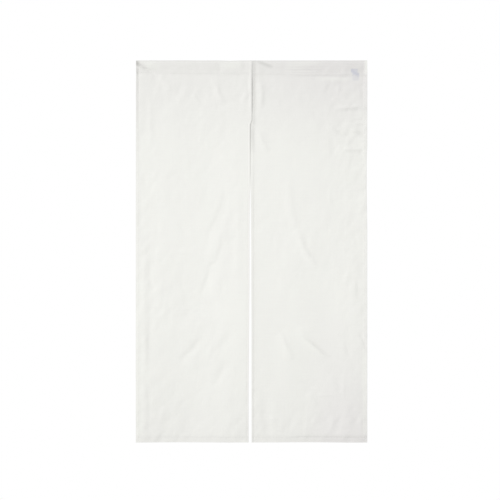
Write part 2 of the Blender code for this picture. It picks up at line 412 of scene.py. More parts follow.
@dataclass(frozen=True)
class SeamShape:
    """The groove at the centre seam between its two lips."""

    pattern: Pattern
    groove_depth: float = 2.1 * MM
    groove_reach: float = 3.6 * MM
    left_lip: Swell = Swell(-0.6 * MM, 6.0 * MM, 2.6 * MM)
    right_lip: Swell = Swell(28 * MM, 9.0 * MM, 0.8 * MM)

    def rise(self, x: Array, depth: Array) -> Array:
        """Give the groove's and the lips' rise, all gone where the seam ends.

        Args:
            x: Places across the doorway.
            depth: Depths below the top edge.

        Returns:
            The rise at each place, in metres.
        """
        held = smooth((self.pattern.seam_length - depth) / self.pattern.seam_fade)
        groove = self.groove_depth * bump(x - self.pattern.seam_x, self.groove_reach)
        return held * (self.left_lip.at(x) + self.right_lip.at(x) - groove)


@dataclass(frozen=True)
class SlitShape:
    """How the panels lap below the seam, come apart and curl along the slit."""

    pattern: Pattern
    parting: Ramp = Ramp(0.40, 0.10)

    # The lap: how far the right panel lies behind the left one, and how soon it comes forward again.
    behind: float = 2.4 * MM
    behind_in_heading: float = 0.75 * MM
    return_reach: float = 12 * MM
    return_in_heading: float = 6 * MM
    return_from: float = 0.5 * MM  # beyond the left panel's edge
    under_top: Ramp = Ramp(12 * MM, 12 * MM)

    # The narrow hollow that opens below the seam's end.
    crevice: Swell = Swell(-2.0 * MM, 3.0 * MM, -3.2 * MM)
    crevice_opens: Ramp = Ramp(0.226, 14 * MM)
    crevice_closes: Ramp = Ramp(0.21, 0.20)

    # The edges and the hems' stitches.
    left_lift: float = 2.08 * MM  # of the left edge over the right panel, until they part
    left_curl: float = 0.3 * MM  # of the left edge towards the viewer, once they have
    right_curl: float = 0.9 * MM
    right_curl_from: float = -0.5 * MM  # the right edge's curl is never further left
    right_curl_fade: float = 3 * MM
    curl_reach: float = 6.0 * MM
    dip: float = 0.6 * MM
    dip_reach: float = 3.2 * MM

    def parted(self, depth: Array) -> Array:
        """Tell how far the panels have come apart: 0 where they lap, 1 where the slit is open."""
        return self.parting.at(depth)

    def lap(self, x: Array, depth: Array) -> Array:
        """Tell how far the right panel lies behind the left one, whose edge it passes under.

        Args:
            x: Places across the doorway.
            depth: Depths below the top edge.

        Returns:
            The distance at each place, in metres.
        """
        below = self.pattern.below_heading.at(depth)
        behind = self.behind_in_heading + (self.behind - self.behind_in_heading) * below
        reach = self.return_in_heading + (self.return_reach - self.return_in_heading) * below
        returned = smooth((x - self.pattern.left_inner.x(depth) - self.return_from) / reach)
        return behind * (1 - returned) * (1 - self.parted(depth)) * self.under_top.at(depth)

    def rise(self, x: Array, depth: Array) -> Array:
        """Give the left edge's lift over the right one, the hollow beside it, and the hems' curl.

        Args:
            x: Places across the doorway.
            depth: Depths below the top edge.

        Returns:
            The rise at each place, in metres.
        """
        pattern = self.pattern
        left_edge, right_edge = pattern.left_inner.x(depth), pattern.right_inner.x(depth)
        begun = smooth((depth - pattern.seam_length) / pattern.seam_fade + 0.5)
        parted = self.parted(depth)
        at_left = bump(x - left_edge, self.curl_reach)
        left = (self.left_lift * begun * (1 - parted) + self.left_curl * parted) * at_left
        crevice = self.crevice.at(x) * self.crevice_opens.at(depth) * (1 - self.crevice_closes.at(depth))
        in_from_right = np.maximum(x - np.maximum(right_edge, self.right_curl_from), 0)
        beyond = smooth((x - (left_edge + right_edge) / 2) / self.right_curl_fade + 0.5)
        right = self.right_curl * begun * bump(in_from_right, self.curl_reach) * beyond
        stitches = bump(x - pattern.slit_stitch_x(Side.RIGHT, depth), self.dip_reach) * begun
        return left + right + crevice - self.dip * stitches


@dataclass(frozen=True)
class SideBend:
    """How the cloth bends along one side: a dip at the hem's stitches, and a curl near the top."""

    trough: float  # the dip's place, in from the side
    dip: float  # how deep it is near the top
    dip_below: float  # and the share of that which goes on down the side
    lift: float  # of the side itself towards the viewer, near the top
    lift_ends: float
    trough_reach: float = 3.6 * MM
    lift_reach: float = 6.5 * MM

    def rise(self, from_side: Array, depth: Array) -> Array:
        """Give the bend's rise.

        Args:
            from_side: Distances in from the side.
            depth: Depths below the top edge.

        Returns:
            The rise at each place, in metres.
        """
        near_top = 1 - smooth(depth / self.lift_ends)
        dip = self.dip * (self.dip_below + (1 - self.dip_below) * near_top)
        dip = dip * bump(from_side - self.trough, self.trough_reach)
        return self.lift * near_top * bump(from_side, self.lift_reach) - dip


@dataclass(frozen=True)
class HemShapes:
    """How the cloth bends at its side hems and dips along the bottom hem's stitches."""

    pattern: Pattern
    left: SideBend = SideBend(10.8 * MM, 1.5 * MM, 0.05, 1.6 * MM, 0.46)
    right: SideBend = SideBend(14.5 * MM, 1.1 * MM, 0.35, 2.4 * MM, 0.30)
    bottom_dip: float = 0.36 * MM
    bottom_dip_right: float = 0.36 * MM  # more than that where the stitches draw harder
    draws_harder: Ramp = Ramp(0.13, 40 * MM)
    bottom_reach: float = 2.6 * MM

    def rise(self, x: Array, depth: Array) -> Array:
        """Give the rise that the hems bring.

        Args:
            x: Places across the doorway.
            depth: Depths below the top edge.

        Returns:
            The rise at each place, in metres.
        """
        from_side = self.pattern.from_side(x)
        sides = np.where(x > 0, self.right.rise(from_side, depth), self.left.rise(from_side, depth))
        dip = self.bottom_dip + self.bottom_dip_right * self.draws_harder.at(x)
        from_stitches = self.pattern.drop - self.pattern.bottom_stitch - depth
        return sides - dip * bump(from_stitches, self.bottom_reach)


@dataclass(frozen=True)
class Crumple:
    """The cloth's faint general unevenness, busier in some places than in others."""

    wide: Unevenness = Unevenness(11, 70 * MM, 110 * MM, (31, 7))
    wide_rise: float = 0.90 * MM
    small: Unevenness = Unevenness(23, 31 * MM, 47 * MM, (57, 3), slant=0.2)
    small_rise: float = 0.40 * MM
    fine: Unevenness = Unevenness(31, 21 * MM, 33 * MM, (11, 5), slant=0.3)
    fine_rise: float = 0.44 * MM
    finest: Unevenness = Unevenness(37, 12 * MM, 18 * MM, (3, 9), slant=0.3)
    finest_rise: float = 0.22 * MM

    # How busy the fine waves are: everywhere, in patches, and in the places that are named.
    busy: float = 0.7
    busy_patches: Unevenness = Unevenness(41, 150 * MM, 150 * MM, (5, 2))
    busy_in_patches: float = 1.2
    busy_at_sides: float = 0.9
    sides: Ramp = Ramp(0.26, 0.10)
    under_heading: Swell = Swell(0.11, 70 * MM, 0.9)
    busy_low_right: float = 0.7
    low: Ramp = Ramp(1.10, 0.12)
    low_right: Ramp = Ramp(0.10, 0.15)
    busy_high_right: float = 0.8
    high_ends: Ramp = Ramp(0.34, 0.20)
    high_right: Ramp = Ramp(0.22, 0.10)
    least_busy: float = 0.15
    most_busy: float = 3.0

    def busyness(self, x: Array, depth: Array) -> Array:
        """Tell how much stronger or fainter the fine waves are.

        Args:
            x: Places across the doorway.
            depth: Depths below the top edge.

        Returns:
            The strength at each place, about 1.
        """
        busy = self.busy + self.busy_in_patches * self.busy_patches.over(x, depth)
        busy = busy + self.busy_at_sides * self.sides.at(np.abs(x)) + self.under_heading.at(depth)
        busy = busy + self.busy_low_right * self.low_right.at(x) * self.low.at(depth)
        busy = busy + self.busy_high_right * self.high_right.at(x) * (1 - self.high_ends.at(depth))
        return np.clip(busy, self.least_busy, self.most_busy)

    def rise(self, x: Array, depth: Array) -> Array:
        """Give the rise that the unevenness brings.

        Args:
            x: Places across the doorway.
            depth: Depths below the top edge.

        Returns:
            The rise at each place, in metres.
        """
        fine = self.fine_rise * self.fine.over(x, depth) + self.finest_rise * self.finest.over(x, depth)
        broad = self.wide_rise * self.wide.over(x, depth) + self.small_rise * self.small.over(x, depth)
        return broad + self.busyness(x, depth) * fine


@dataclass(frozen=True)
class Puckers:
    """The small waves that the sewing draws up along each stitch line and over the heading."""

    pattern: Pattern
    high: float = 0.30 * MM
    reach: float = 6 * MM
    bottom_reach: float = 8 * MM
    heading: Unevenness = Unevenness(5, 13 * MM, start=(40, 0))
    sides: Unevenness = Unevenness(6, 16 * MM, 0.05, (0, 30))  # another row of waves on each side
    bottom: Unevenness = Unevenness(7, 18 * MM, start=(40, 0))
    mottled: Unevenness = Unevenness(8, 17 * MM, 12 * MM, (40, 4))
    mottled_high: float = 0.50 * MM
    mottled_ends: Ramp = Ramp(-8 * MM, 10 * MM)  # from the heading's stitch line

    def rise(self, x: Array, depth: Array) -> Array:
        """Give the rise that the puckers bring.

        Args:
            x: Places across the doorway.
            depth: Depths below the top edge.

        Returns:
            The rise at each place, in metres.
        """
        pattern = self.pattern
        from_stitches = depth - pattern.stitch_depth(x)
        heading = self.heading.over(x, depth) * bump(from_stitches, self.reach)
        from_hem = pattern.from_side(x) - pattern.side_hem
        sides = self.sides.over(depth, np.sign(x)) * bump(from_hem, self.reach)
        from_bottom = pattern.drop - pattern.bottom_hem - depth
        bottom = self.bottom.over(x, depth) * bump(from_bottom, self.bottom_reach)
        mottled = self.mottled.over(x, depth) * (1 - self.mottled_ends.at(from_stitches))
        return self.high * (heading + sides + bottom) + self.mottled_high * mottled


@dataclass(frozen=True)
class Drape:
    """The whole curtain as it hangs: how far each point of its cloth stands out, and its folds."""

    pattern: Pattern
    pocket: RodPocket
    seam: SeamShape
    slit: SlitShape
    hems: HemShapes
    puckers: Puckers
    crumple: Crumple = Crumple()
    rod_share: float = 0.35  # of the cloth's own rise, where it lies over the rod
    rod_seam_share: float = 0.75  # and of the seam's and the heading's folds

    # The broad waves of hanging cloth, and a quicker one that runs with them.
    sway: float = 4.0 * MM
    sway_pitch: float = 0.42
    sway_lean: float = 1.6
    quick_share: float = 0.4
    quick_pace: float = 1.7
    quick_phase: float = 1.0

    # The top edge.
    sag: Swell = Swell(-78 * MM, 25 * MM, 1.1 * MM)
    sag_ends: float = 60 * MM
    top_unevenness: float = 0.35 * MM
    top_waves: Unevenness = Unevenness(9, 30 * MM, start=(20, 0.5))

    # How far the folds stray from their lines.
    wander: float = 3.6 * MM
    wander_across: Unevenness = Unevenness(43, 34 * MM, 38 * MM, (30, 3))
    wander_down: Unevenness = Unevenness(47, 36 * MM, 34 * MM, (30, 8))

    folds: tuple[Fold, ...] = (
        # Left panel: short folds under the heading, then flutes that lean from the slit to the lower left.
        Fold(-335, 50, -296, 114, 0, 11, 3.0),
        Fold(-184, 104, -174, 166, 0, 15, -1.9, 0.3),
        Fold(-138, 50, -104, 172, 0, 14, 2.6, 0.1),
        Fold(-376, 90, -372, 335, 3, 9, 1.3),
        Fold(-55, 420, -51, 880, 3, 15, 1.5),
        Fold(-97, 468, -166, 652, 9, 17, -2.1, 0.5),
        Fold(-104, 636, -136, 756, 4, 15, -2.2, 0.5),
        Fold(-140, 738, -188, 866, 0, 16, -2.4, 0.5),
        Fold(-178, 890, -262, 955, 0, 16, -1.2, 0.2),
        Fold(-178, 1012, -266, 1108, 0, 14, -2.8, 0.25),
        Fold(-74, 992, -150, 1095, 0, 15, -1.5, 0.2),
        Fold(-90, 1110, -142, 1205, 0, 14, -1.8, 0.2),
        Fold(-367, 620, -371, 1180, 0, 17, -1.0, 0.3),
        Fold(-394, 700, -392, 1440, 0, 9, 0.9, 0.0, 0.4),
        Fold(-226, 900, -240, 1440, 0, 62, 2.6, 0.0, 0.6),
        # Right panel: the pucker beside the seam, folds that lean to the lower right, creases at the side.
        Fold(33, 62, 36, 176, 0, 12, 2.3, 0.2),
        Fold(20, 250, 58, 335, 0, 13, 1.8),
        Fold(137, 446, 162, 618, -4, 14, 1.8, 0.2),
        Fold(161, 620, 240, 760, -4, 14, 2.9, 0.25),
        Fold(102, 1000, 150, 1096, 0, 13, 2.8, 0.25),
        Fold(168, 977, 275, 1092, 0, 16, 2.6, 0.4),
        Fold(315, 168, 424, 160, 0, 15, 1.6),
        Fold(280, 255, 400, 285, 0, 15, -1.4),
        Fold(377, 470, 374, 830, 0, 17, -0.9),
        Fold(350, 970, 372, 1100, 0, 15, -1.0),
        Fold(40, 1195, 66, 1402, 0, 20, -2.4, 0.2),
    )
    creases: tuple[Fold, ...] = (
        # Left panel, from the top: under the heading, at the side, and down the leaning flutes.
        Fold(-346, 62, -326, 104, 0, 5, -0.8, 0.3),
        Fold(-150, 62, -104, 158, 0, 7, 1.2, 0.3),
        Fold(-118, 84, -112, 128, 0, 6, -0.9, 0.3),
        Fold(-128, 160, -122, 182, 0, 6, -0.9, 0.3),
        Fold(-76, 162, -68, 182, 0, 6, -0.8, 0.3),
        Fold(-272, 104, -262, 124, 0, 7, -0.9, 0.3),
        Fold(-268, 130, -262, 158, 0, 9, 1.3),
        Fold(-204, 120, -184, 158, 0, 9, -2.2, 0.3),
        Fold(-390, 150, -388, 196, 0, 5, -0.9, 0.3),
        Fold(-358, 236, -354, 280, 0, 6, -0.9, 0.3),
        Fold(-398, 408, -388, 466, 0, 6, -1.1, 0.3),
        Fold(-402, 505, -350, 530, 0, 6, 0.9, 0.3),
        Fold(-262, 255, -256, 290, 0, 6, -0.7, 0.3),
        Fold(-184, 288, -172, 322, 0, 6, -0.7, 0.3),
        Fold(-128, 736, -166, 766, 0, 8, -1.3, 0.3),
        Fold(-208, 280, -196, 300, 0, 8, -1.0, 0.3),
        Fold(-272, 590, -238, 650, 0, 7, -0.9, 0.3),
        Fold(-352, 596, -344, 640, 0, 6, -0.8, 0.3),
        Fold(-258, 800, -254, 856, 0, 6, -0.9, 0.3),
        Fold(-111, 800, -108, 862, 0, 6, -0.9, 0.3),
        Fold(-186, 700, -140, 716, 0, 5, 0.8, 0.3),
        Fold(-378, 786, -362, 848, 0, 7, -1.6, 0.3),
        Fold(-300, 700, -200, 704, 0, 8, 0.9),
        Fold(-230, 930, -190, 900, 0, 5, 0.8),
        Fold(-376, 972, -378, 1095, 0, 7, -1.0, 0.3),
        Fold(-378, 1172, -376, 1380, 0, 7, -1.0, 0.3),
        # Right panel: beside the seam, the two leaning folds, the pair lower down, and the side.
        Fold(34, 80, 36, 160, 0, 8, 0.8, 0.3),
        Fold(24, 260, 62, 338, 0, 7, 1.0, 0.35),
        Fold(176, 662, 241, 768, 0, 7, 1.0, 0.35),
        Fold(190, 1004, 280, 1094, 2, 5, -3.4),
        Fold(289, 462, 291, 532, 0, 6, 0.9, 0.3),
        Fold(76, 640, 80, 692, 0, 6, -0.9, 0.3),
        Fold(370, 622, 386, 692, 0, 7, -1.1, 0.3),
        Fold(388, 795, 392, 872, 0, 8, -2.4, 0.3),
        Fold(393, 996, 420, 1056, 0, 7, -2.4, 0.3),
        Fold(343, 1034, 358, 1088, 0, 7, -1.6, 0.3),
        Fold(302, 172, 424, 172, 2, 6, 2.6, 0.3),
        Fold(294, 138, 342, 157, 0, 6, 2.0, 0.3),
        Fold(270, 112, 286, 138, 0, 9, -1.1),
        Fold(314, 92, 330, 116, 0, 9, 1.9),
        Fold(376, 136, 388, 152, 0, 6, -1.0),
        Fold(404, 88, 412, 140, 0, 7, -1.9),
        Fold(368, 221, 424, 222, 0, 4, -1.9),
        Fold(374, 240, 418, 242, 0, 4, -1.7),
        Fold(360, 250, 396, 268, 0, 6, 3.0, 0.3),
        Fold(288, 244, 324, 268, 0, 6, 2.4, 0.3),
        Fold(318, 280, 418, 292, 3, 6, -1.0, 0.3),
        Fold(300, 276, 302, 344, 0, 13, -1.6, 0.2),
        Fold(336, 323, 404, 327, 0, 6, 3.2, 0.3),
        Fold(345, 345, 372, 352, 0, 6, 0.9),
        Fold(396, 300, 428, 302, 0, 4, -1.7),
        Fold(396, 320, 424, 322, 0, 4, 0.9),
        Fold(170, 300, 200, 306, 0, 7, -0.9, 0.3),
        Fold(228, 180, 236, 216, 0, 8, -0.8, 0.3),
        # The bottom right corner.
        Fold(206, 1218, 242, 1268, 0, 15, 1.8, 0.2),
        Fold(284, 1160, 314, 1210, 0, 14, 1.7, 0.2),
        Fold(180, 1172, 236, 1196, -4, 7, -1.3, 0.3),
        Fold(335, 1150, 338, 1242, 0, 8, 1.3, 0.3),
        Fold(236, 1222, 300, 1226, 0, 5, 1.0, 0.3),
        Fold(80, 1290, 78, 1388, 0, 6, 0.5),
        Fold(112, 1280, 110, 1388, 0, 6, 0.5),
        Fold(153, 1268, 150, 1388, 0, 7, 0.6),
        Fold(206, 1262, 202, 1388, 0, 7, 0.6),
        Fold(318, 1270, 322, 1388, 0, 8, -0.7, 0.3),
        Fold(400, 1290, 404, 1375, 0, 7, 1.2, 0.3),
        Fold(66, 1306, 96, 1318, 0, 6, 1.2, 0.3),
        # Beside the seam, and level pleats in the right half of the heading.
        Fold(-14, 56, -13, 168, 0, 7, -1.3, 0.2),
        Fold(176, 16, 262, 17, 0, 2.6, -0.45),
        Fold(178, 25, 258, 25, 0, 2.6, -0.45),
        Fold(174, 36, 270, 37, 0, 2.6, -0.55),
        Fold(180, 47, 372, 44, 0, 2.8, -0.60),
        Fold(178, 57, 345, 60, 0, 2.8, -0.60),
        Fold(300, 66, 378, 66, 0, 2.8, -0.45),
    )
    heading_folds: tuple[Fold, ...] = (
        # In and beside the heading, where the rod and the stitches hold the folds to their lines.
        Fold(-430, -8, -404, 26, 0, 7, -6.0),
        Fold(-412, 18, -352, 50, 0, 5, -4.6),
        Fold(-424, 30, -410, 56, 0, 5, -2.6),
        Fold(-206, 4, -186, 34, 0, 9, -1.8),
        Fold(-130, 8, -106, 40, 0, 8, -1.6),
        Fold(-62, 44, -34, 62, 0, 5, -1.6),
        Fold(-416, 42, -398, 42, 0, 5, 1.0),
        Fold(-384, 14, -356, 16, 0, 6, 1.2),
        Fold(-342, 60, -336, 84, 0, 6, 0.9),
        Fold(-300, 70, -262, 73, 0, 4, -0.9),
        Fold(-30, -2, -20, 40, 0, 7, -1.6),
        Fold(14, -4, 80, 30, 0, 8, -2.2),
    )

    @classmethod
    def hang(cls, pattern: Pattern) -> "Drape":
        """Hang the curtain that a pattern gives.

        Args:
            pattern: The curtain's cut.

        Returns:
            The curtain as it hangs.
        """
        shapes = (part(pattern) for part in (RodPocket, SeamShape, SlitShape, HemShapes, Puckers))
        return cls(pattern, *shapes)

    def broad_waves(self, x: Array, depth: Array) -> Array:
        """Give the slow waves of hanging cloth, held straight by the rod and free at the hem.

        Args:
            x: Places across the doorway.
            depth: Depths below the top edge.

        Returns:
            The rise at each place, in metres.
        """
        phase = 2 * math.pi * x / self.sway_pitch + self.sway_lean * depth
        quick = self.quick_share * np.sin(self.quick_pace * phase + self.quick_phase)
        return self.sway * (depth / self.pattern.drop) * (np.sin(phase) + quick)

    def rise(self, x: Array, depth: Array) -> Array:
        """Tell how far the cloth's middle stands towards the viewer.

        Args:
            x: Places across the doorway.
            depth: Depths below the top edge.

        Returns:
            The rise at each place, in metres.
        """
        shapes = (self.slit, self.hems, self.crumple, self.puckers)
        total = self.broad_waves(x, depth) + sum(shape.rise(x, depth) for shape in shapes)
        wander_x = self.wander * self.wander_across.over(x, depth)
        wander_depth = self.wander * self.wander_down.over(x, depth)
        for fold in self.folds + self.creases:
            total = total + fold.lift(x + wander_x, depth + wander_depth)
        return total

    def heading_rise(self, x: Array, depth: Array) -> Array:
        """Give the rise with the heading's own folds: all of it below the rod, and less over it.

        Args:
            x: Places across the doorway.
            depth: Depths below the top edge.

        Returns:
            The rise at each place, in metres.
        """
        closed = self.pocket.closed(x, depth)
        cloth = self.rise(x, depth) * (self.rod_share + (1 - self.rod_share) * closed)
        held = sum(fold.lift(x, depth) for fold in self.heading_folds) + self.seam.rise(x, depth)
        return cloth + held * (self.rod_seam_share + (1 - self.rod_seam_share) * closed)

    def top_sag(self, x: Array, depth: Array) -> Array:
        """Tell how far the top edge, and the cloth just below it, hangs under a straight line.

        Args:
            x: Places across the doorway.
            depth: Depths below the top edge.

        Returns:
            The distance down at each place, in metres.
        """
        uneven = self.top_unevenness * (1 + self.top_waves.over(x, depth))
        return (self.sag.at(x) + uneven) * (1 - smooth(depth / self.sag_ends))


@dataclass(frozen=True)
class PaintedShades:
    """Painted shade, shadow and highlight: where the cloth is greyer or darker than its own even colour, as
    shares that its finish reads.
    """

    pattern: Pattern

    # Painted shade: greyer near the top and more so at the right, in doubled cloth, at the lower right and
    # the foot.
    painted_shade_down: float = 0.36  # the depth where the top's grey has faded out
    painted_shade_left: float = 0.22
    painted_shade_right: float = 0.51
    painted_shade_across: Ramp = Ramp(-106.25 * MM, 0.425)
    painted_shade_layer: float = 0.03
    painted_shade_hem: float = 0.06
    layer_fade: float = 1.5 * MM
    painted_shade_corner: float = 0.42
    corner_across: Ramp = Ramp(0.16, 0.16)
    corner_down: Ramp = Ramp(0.80, 0.62)
    painted_shade_foot: float = 0.09
    foot_down: Ramp = Ramp(1.18, 0.18)

    # Painted shade along the stitch lines and in the bottom hem.
    to_right: Ramp = Ramp(-50 * MM, 0.30)
    from_corner: Ramp = Ramp(-0.37, 80 * MM)
    stitches: float = 0.02
    stitches_from_corner: float = 0.15
    stitches_to_right: float = 0.08
    stitches_below: float = 1.5 * MM
    stitches_reach: float = 6.5 * MM
    hem_left: float = 0.19
    hem_right: float = 0.10
    hem_foot: Ramp = Ramp(2 * MM, 5 * MM)  # up from the hem's edge
    hem_top: Ramp = Ramp(20 * MM, 14 * MM)
    hem_stitches: float = 0.26
    hem_stitches_from: Ramp = Ramp(0.14, 30 * MM)
    hem_stitches_reach: float = 4.4 * MM

    painted_crease_shadows: tuple[Fold, ...] = (
        # Painted shadow in creases so sharp that little light comes out of them. The rise is the share by
        # which the painted shadow darkens the cloth, and below nothing the share by which painted highlight
        # makes a smooth place beside them lighter.
        Fold(-428, -30, -416, 20, 0, 9, 1.80, 0.0, 0.4),
        Fold(-421, 34, -421, 300, 0, 5, 0.10, 0.0, 0.5),
        Fold(-417, 28, -417, 49, 0, 6, 0.80),
        Fold(-424, 8, -386, 31, 0, 7, 0.95, 0.0, 0.5),
        Fold(18, 2.5, 80, 26.5, 0, 6.2, 1.15, 0.0, 0.5),
        Fold(-412, 17, -330, 17, 0, 15, -0.34),
        Fold(-120, 16, -30, 16, 0, 15, -0.30),
        Fold(124, 12, 262, 12, 0, 10, -0.28),
        Fold(142, 16.5, 258, 16.5, 0, 2.6, 0.12, 0.0, 0.4),
        Fold(120, 20.4, 190, 20.4, 0, 2.6, -0.26),
        Fold(142, 24, 266, 24, 0, 2.8, 0.30, 0.0, 0.4),
        Fold(116, 28.8, 196, 28.8, 0, 2.8, -0.26),
        Fold(138, 35, 270, 35, 0, 3.0, 0.30, 0.0, 0.4),
        Fold(116, 39, 250, 39, 0, 2.6, -0.30),
        Fold(142, 43.5, 262, 43.5, 0, 2.6, 0.18, 0.0, 0.4),
        Fold(120, 49.5, 236, 49.5, 0, 2.8, -0.24),
        Fold(148, 56.5, 350, 57.0, 0, 3.2, 0.20, 0.0, 0.4),
        Fold(230, 67, 374, 67, 0, 8, -0.30),
        Fold(330, 24, 430, 24, 0, 20, 0.16),
        Fold(422, -24, 422, 54, 0, 9, -0.75),
        Fold(9.4, -16, 9.4, 236, 0, 5.4, 1.20, 0.0, 0.25),
        Fold(3.6, 200, 3.6, 342, 0, 8, 0.85),
        Fold(11.6, 290, 11.6, 1420, 0, 6, 0.24, 0.0, 0.3),
        Fold(199, 1016, 293, 1097, 2, 6, 0.46),
        Fold(182, 1021, 268, 1090, 2, 7, -0.18),
        Fold(300, 179, 436, 180, 0, 6, 0.22),
        Fold(338, 332, 402, 334, 0, 7, 0.26),
        Fold(366, 260, 398, 266, 0, 6, 0.22),
        Fold(298, 258, 324, 268, 0, 6, 0.18),
        Fold(-350, 1388, -246, 1388, 0, 20, -0.14),
        Fold(176, 1377.5, 440, 1377.5, 0, 7, 0.24, 0.0, 0.4),
        Fold(148, 1392.5, 436, 1392.5, 0, 4, 0.28, 0.0, 0.3),
        Fold(240, 1392.5, 352, 1392.5, 0, 4, 0.14),
        Fold(-66, 1397, -6, 1397, 0, 8, -0.22, 0.0, 0.4),
        Fold(-376, 650, -378, 870, 0, 11, 0.20),
        Fold(-380, 980, -378, 1100, 0, 12, 0.14),
        Fold(-384, 1180, -384, 1360, 0, 14, 0.08),
        Fold(-414, 760, -414, 1250, 0, 10, -0.20, 0.0, 0.3),
        Fold(-413, 1230, -412, 1400, 0, 12, -0.34, 0.0, 0.3),
        Fold(-100, 480, -134, 640, 6, 9, 0.14),
        Fold(174, 645, 204, 725, 0, 5, 0.18),
        Fold(-70, 470, -112, 900, 0, 26, 0.20),
        Fold(-90, 1000, -142, 1190, 0, 20, 0.15),
        Fold(382, 170, 382, 480, 0, 15, 0.16),
        Fold(384, 560, 394, 960, 0, 15, 0.26),
        Fold(416, 1060, 420, 1420, 0, 13, -0.36, 0.0, 0.3),
    )

    def painted_shade_share(self, x: Array, depth: Array, hemmed: Array) -> Array:
        """Work out the painted shade: less light near the top and at the right, less light through doubled
        cloth and hems, and at the lower right and the foot.

        Args:
            x: Places across the doorway.
            depth: Depths below the top edge.
            hemmed: 1 where the cloth is turned in for a hem, and 0 where it isn't.

        Returns:
            The share at each place.
        """
        near_top = 1 - smooth(depth / self.painted_shade_down)
        across = self.painted_shade_left + (self.painted_shade_right - self.painted_shade_left) * self.painted_shade_across.at(x)
        below = depth - self.pattern.stitch_depth(x) - self.pattern.turned_over
        doubled = 1 - smooth(below / self.layer_fade)
        layers = self.painted_shade_layer * doubled + self.painted_shade_hem * hemmed
        corner = self.painted_shade_corner * self.corner_across.at(x) * self.corner_down.at(depth)
        return near_top * across + layers + corner + self.painted_shade_foot * self.foot_down.at(depth)

    def painted_shadow_share(self, x: Array, depth: Array) -> Array:
        """Work out the painted shadow in the cloth's sharpest creases, at its stitch lines and hem.

        Args:
            x: Places across the doorway.
            depth: Depths below the top edge.

        Returns:
            The share at each place, below nothing where painted highlight makes a smooth place lighter.
        """
        painted_crease_shadow = sum((crease.lift(x, depth) for crease in self.painted_crease_shadows), 0 * x) / MM
        to_right, up = self.to_right.at(x), self.pattern.drop - depth
        stitches = self.stitches + self.stitches_from_corner * self.from_corner.at(x)
        stitches = stitches + self.stitches_to_right * to_right
        below = depth - self.pattern.stitch_depth(x) - self.stitches_below
        stitches = stitches * bump(below, self.stitches_reach)
        hem = self.hem_left + (self.hem_right - self.hem_left) * to_right
        hem = hem * (1 - self.hem_top.at(up)) * self.hem_foot.at(up)
        from_stitches = up - self.pattern.bottom_stitch
        hem_stitches = self.hem_stitches * bump(from_stitches, self.hem_stitches_reach)
        return painted_crease_shadow + stitches + hem + hem_stitches * self.hem_stitches_from.at(x)


# ---------------------------------------------------------------------------------------------------
# Cloth, tape and thread made of that shape
# ---------------------------------------------------------------------------------------------------


def new_piece(
    name: str,
    points: Array,
    faces: Sequence[Sequence[int]],
    material: bpy.types.Material,
    replaces: Sequence[str] = (),
) -> bpy.types.Object:
    """Turn points and faces into a smooth piece that rides on the curtain's body.

    Args:
        name: The piece's name.
        points: Its points, one row each.
        faces: The numbers of each face's corners.
        material: Its finish.
        replaces: The nodes that it stands for.

    Returns:
        The new object.
    """
    mesh = bpy.data.meshes.new(name)
    mesh.from_pydata(points.tolist(), [], [list(map(int, face)) for face in faces])
    mesh.validate()
    mesh.materials.append(material)
    mesh.shade_smooth()
    made = bpy.data.objects.new(name, mesh)
    bpy.context.scene.collection.objects.link(made)
    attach(made, BODY)
    if replaces:
        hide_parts(*replaces)
    LOG.info("%s: %d points, %d faces", name, len(mesh.vertices), len(mesh.polygons))
    return made


def add_reading(piece: bpy.types.Object, name: str, values: Array) -> None:
    """Keep one number for each point of a piece, for its finish to read."""
    kept = piece.data.attributes.new(name, "FLOAT", "POINT")
    kept.data.foreach_set("value", np.ascontiguousarray(values, np.float32).ravel())


def facing(middle: Callable[[Array, Array], Array], x: Array, way: Array, step: float) -> Array:
    """Find the direction that a sheet's surface faces.

    Args:
        middle: Places points of the sheet's middle.
        x: Places across the doorway.
        way: The ways along the sheet.
        step: How far to either side of each point the surface is read.

    Returns:
        A unit vector at each point.
    """
    across = middle(x + step, way) - middle(x - step, way)
    along = middle(x, way + step) - middle(x, way - step)
    out = np.cross(along, across)
    return out / np.linalg.norm(out, axis=-1, keepdims=True)


def rounded(half: Array, distances: Sequence[Array]) -> Array:
    """Round a sheet off to nothing at its edges.

    Args:
        half: Half the sheet's thickness at each point.
        distances: How far each point lies from each edge.

    Returns:
        Half the thickness with round edges.
    """
    full = half
    for distance in distances:
        short = 1 - np.clip(distance / half, 0.0, 1.0)
        full = full * np.sqrt(np.clip(1 - short**2, 0.0, 1.0))
    return full


def closed_skins(near: Array, far: Array, turned: bool) -> tuple[Array, Array, Array]:
    """Close two grids of points that meet along their rims into one skin.

    Args:
        near: The first grid of points.
        far: The grid behind it.
        turned: Whether each near face lists its corners the other way round, to face the other way.

    Returns:
        The points, the faces, and which of the grid's points the far skin has of its own.
    """
    rows, columns = near.shape[:2]
    number = np.arange(rows * columns).reshape(rows, columns)
    inside = np.zeros((rows, columns), bool)
    inside[1:-1, 1:-1] = True
    behind = number.copy()
    behind[inside] = rows * columns + np.arange(inside.sum())

    def quads(at: Array, turn: bool) -> Array:
        """List the faces between neighbouring points of a grid.

        Args:
            at: The points' numbers, a row of the grid in each row.
            turn: Whether each face lists its corners the other way round.

        Returns:
            The numbers of each face's corners.
        """
        corners = [at[:-1, :-1], at[:-1, 1:], at[1:, 1:], at[1:, :-1]]
        listed = np.stack(corners, axis=-1).reshape(-1, 4)
        return listed[:, ::-1] if turn else listed

    faces = np.concatenate([quads(number, turned), quads(behind, not turned)])
    return np.concatenate([near.reshape(-1, 3), far[inside]]), faces, inside


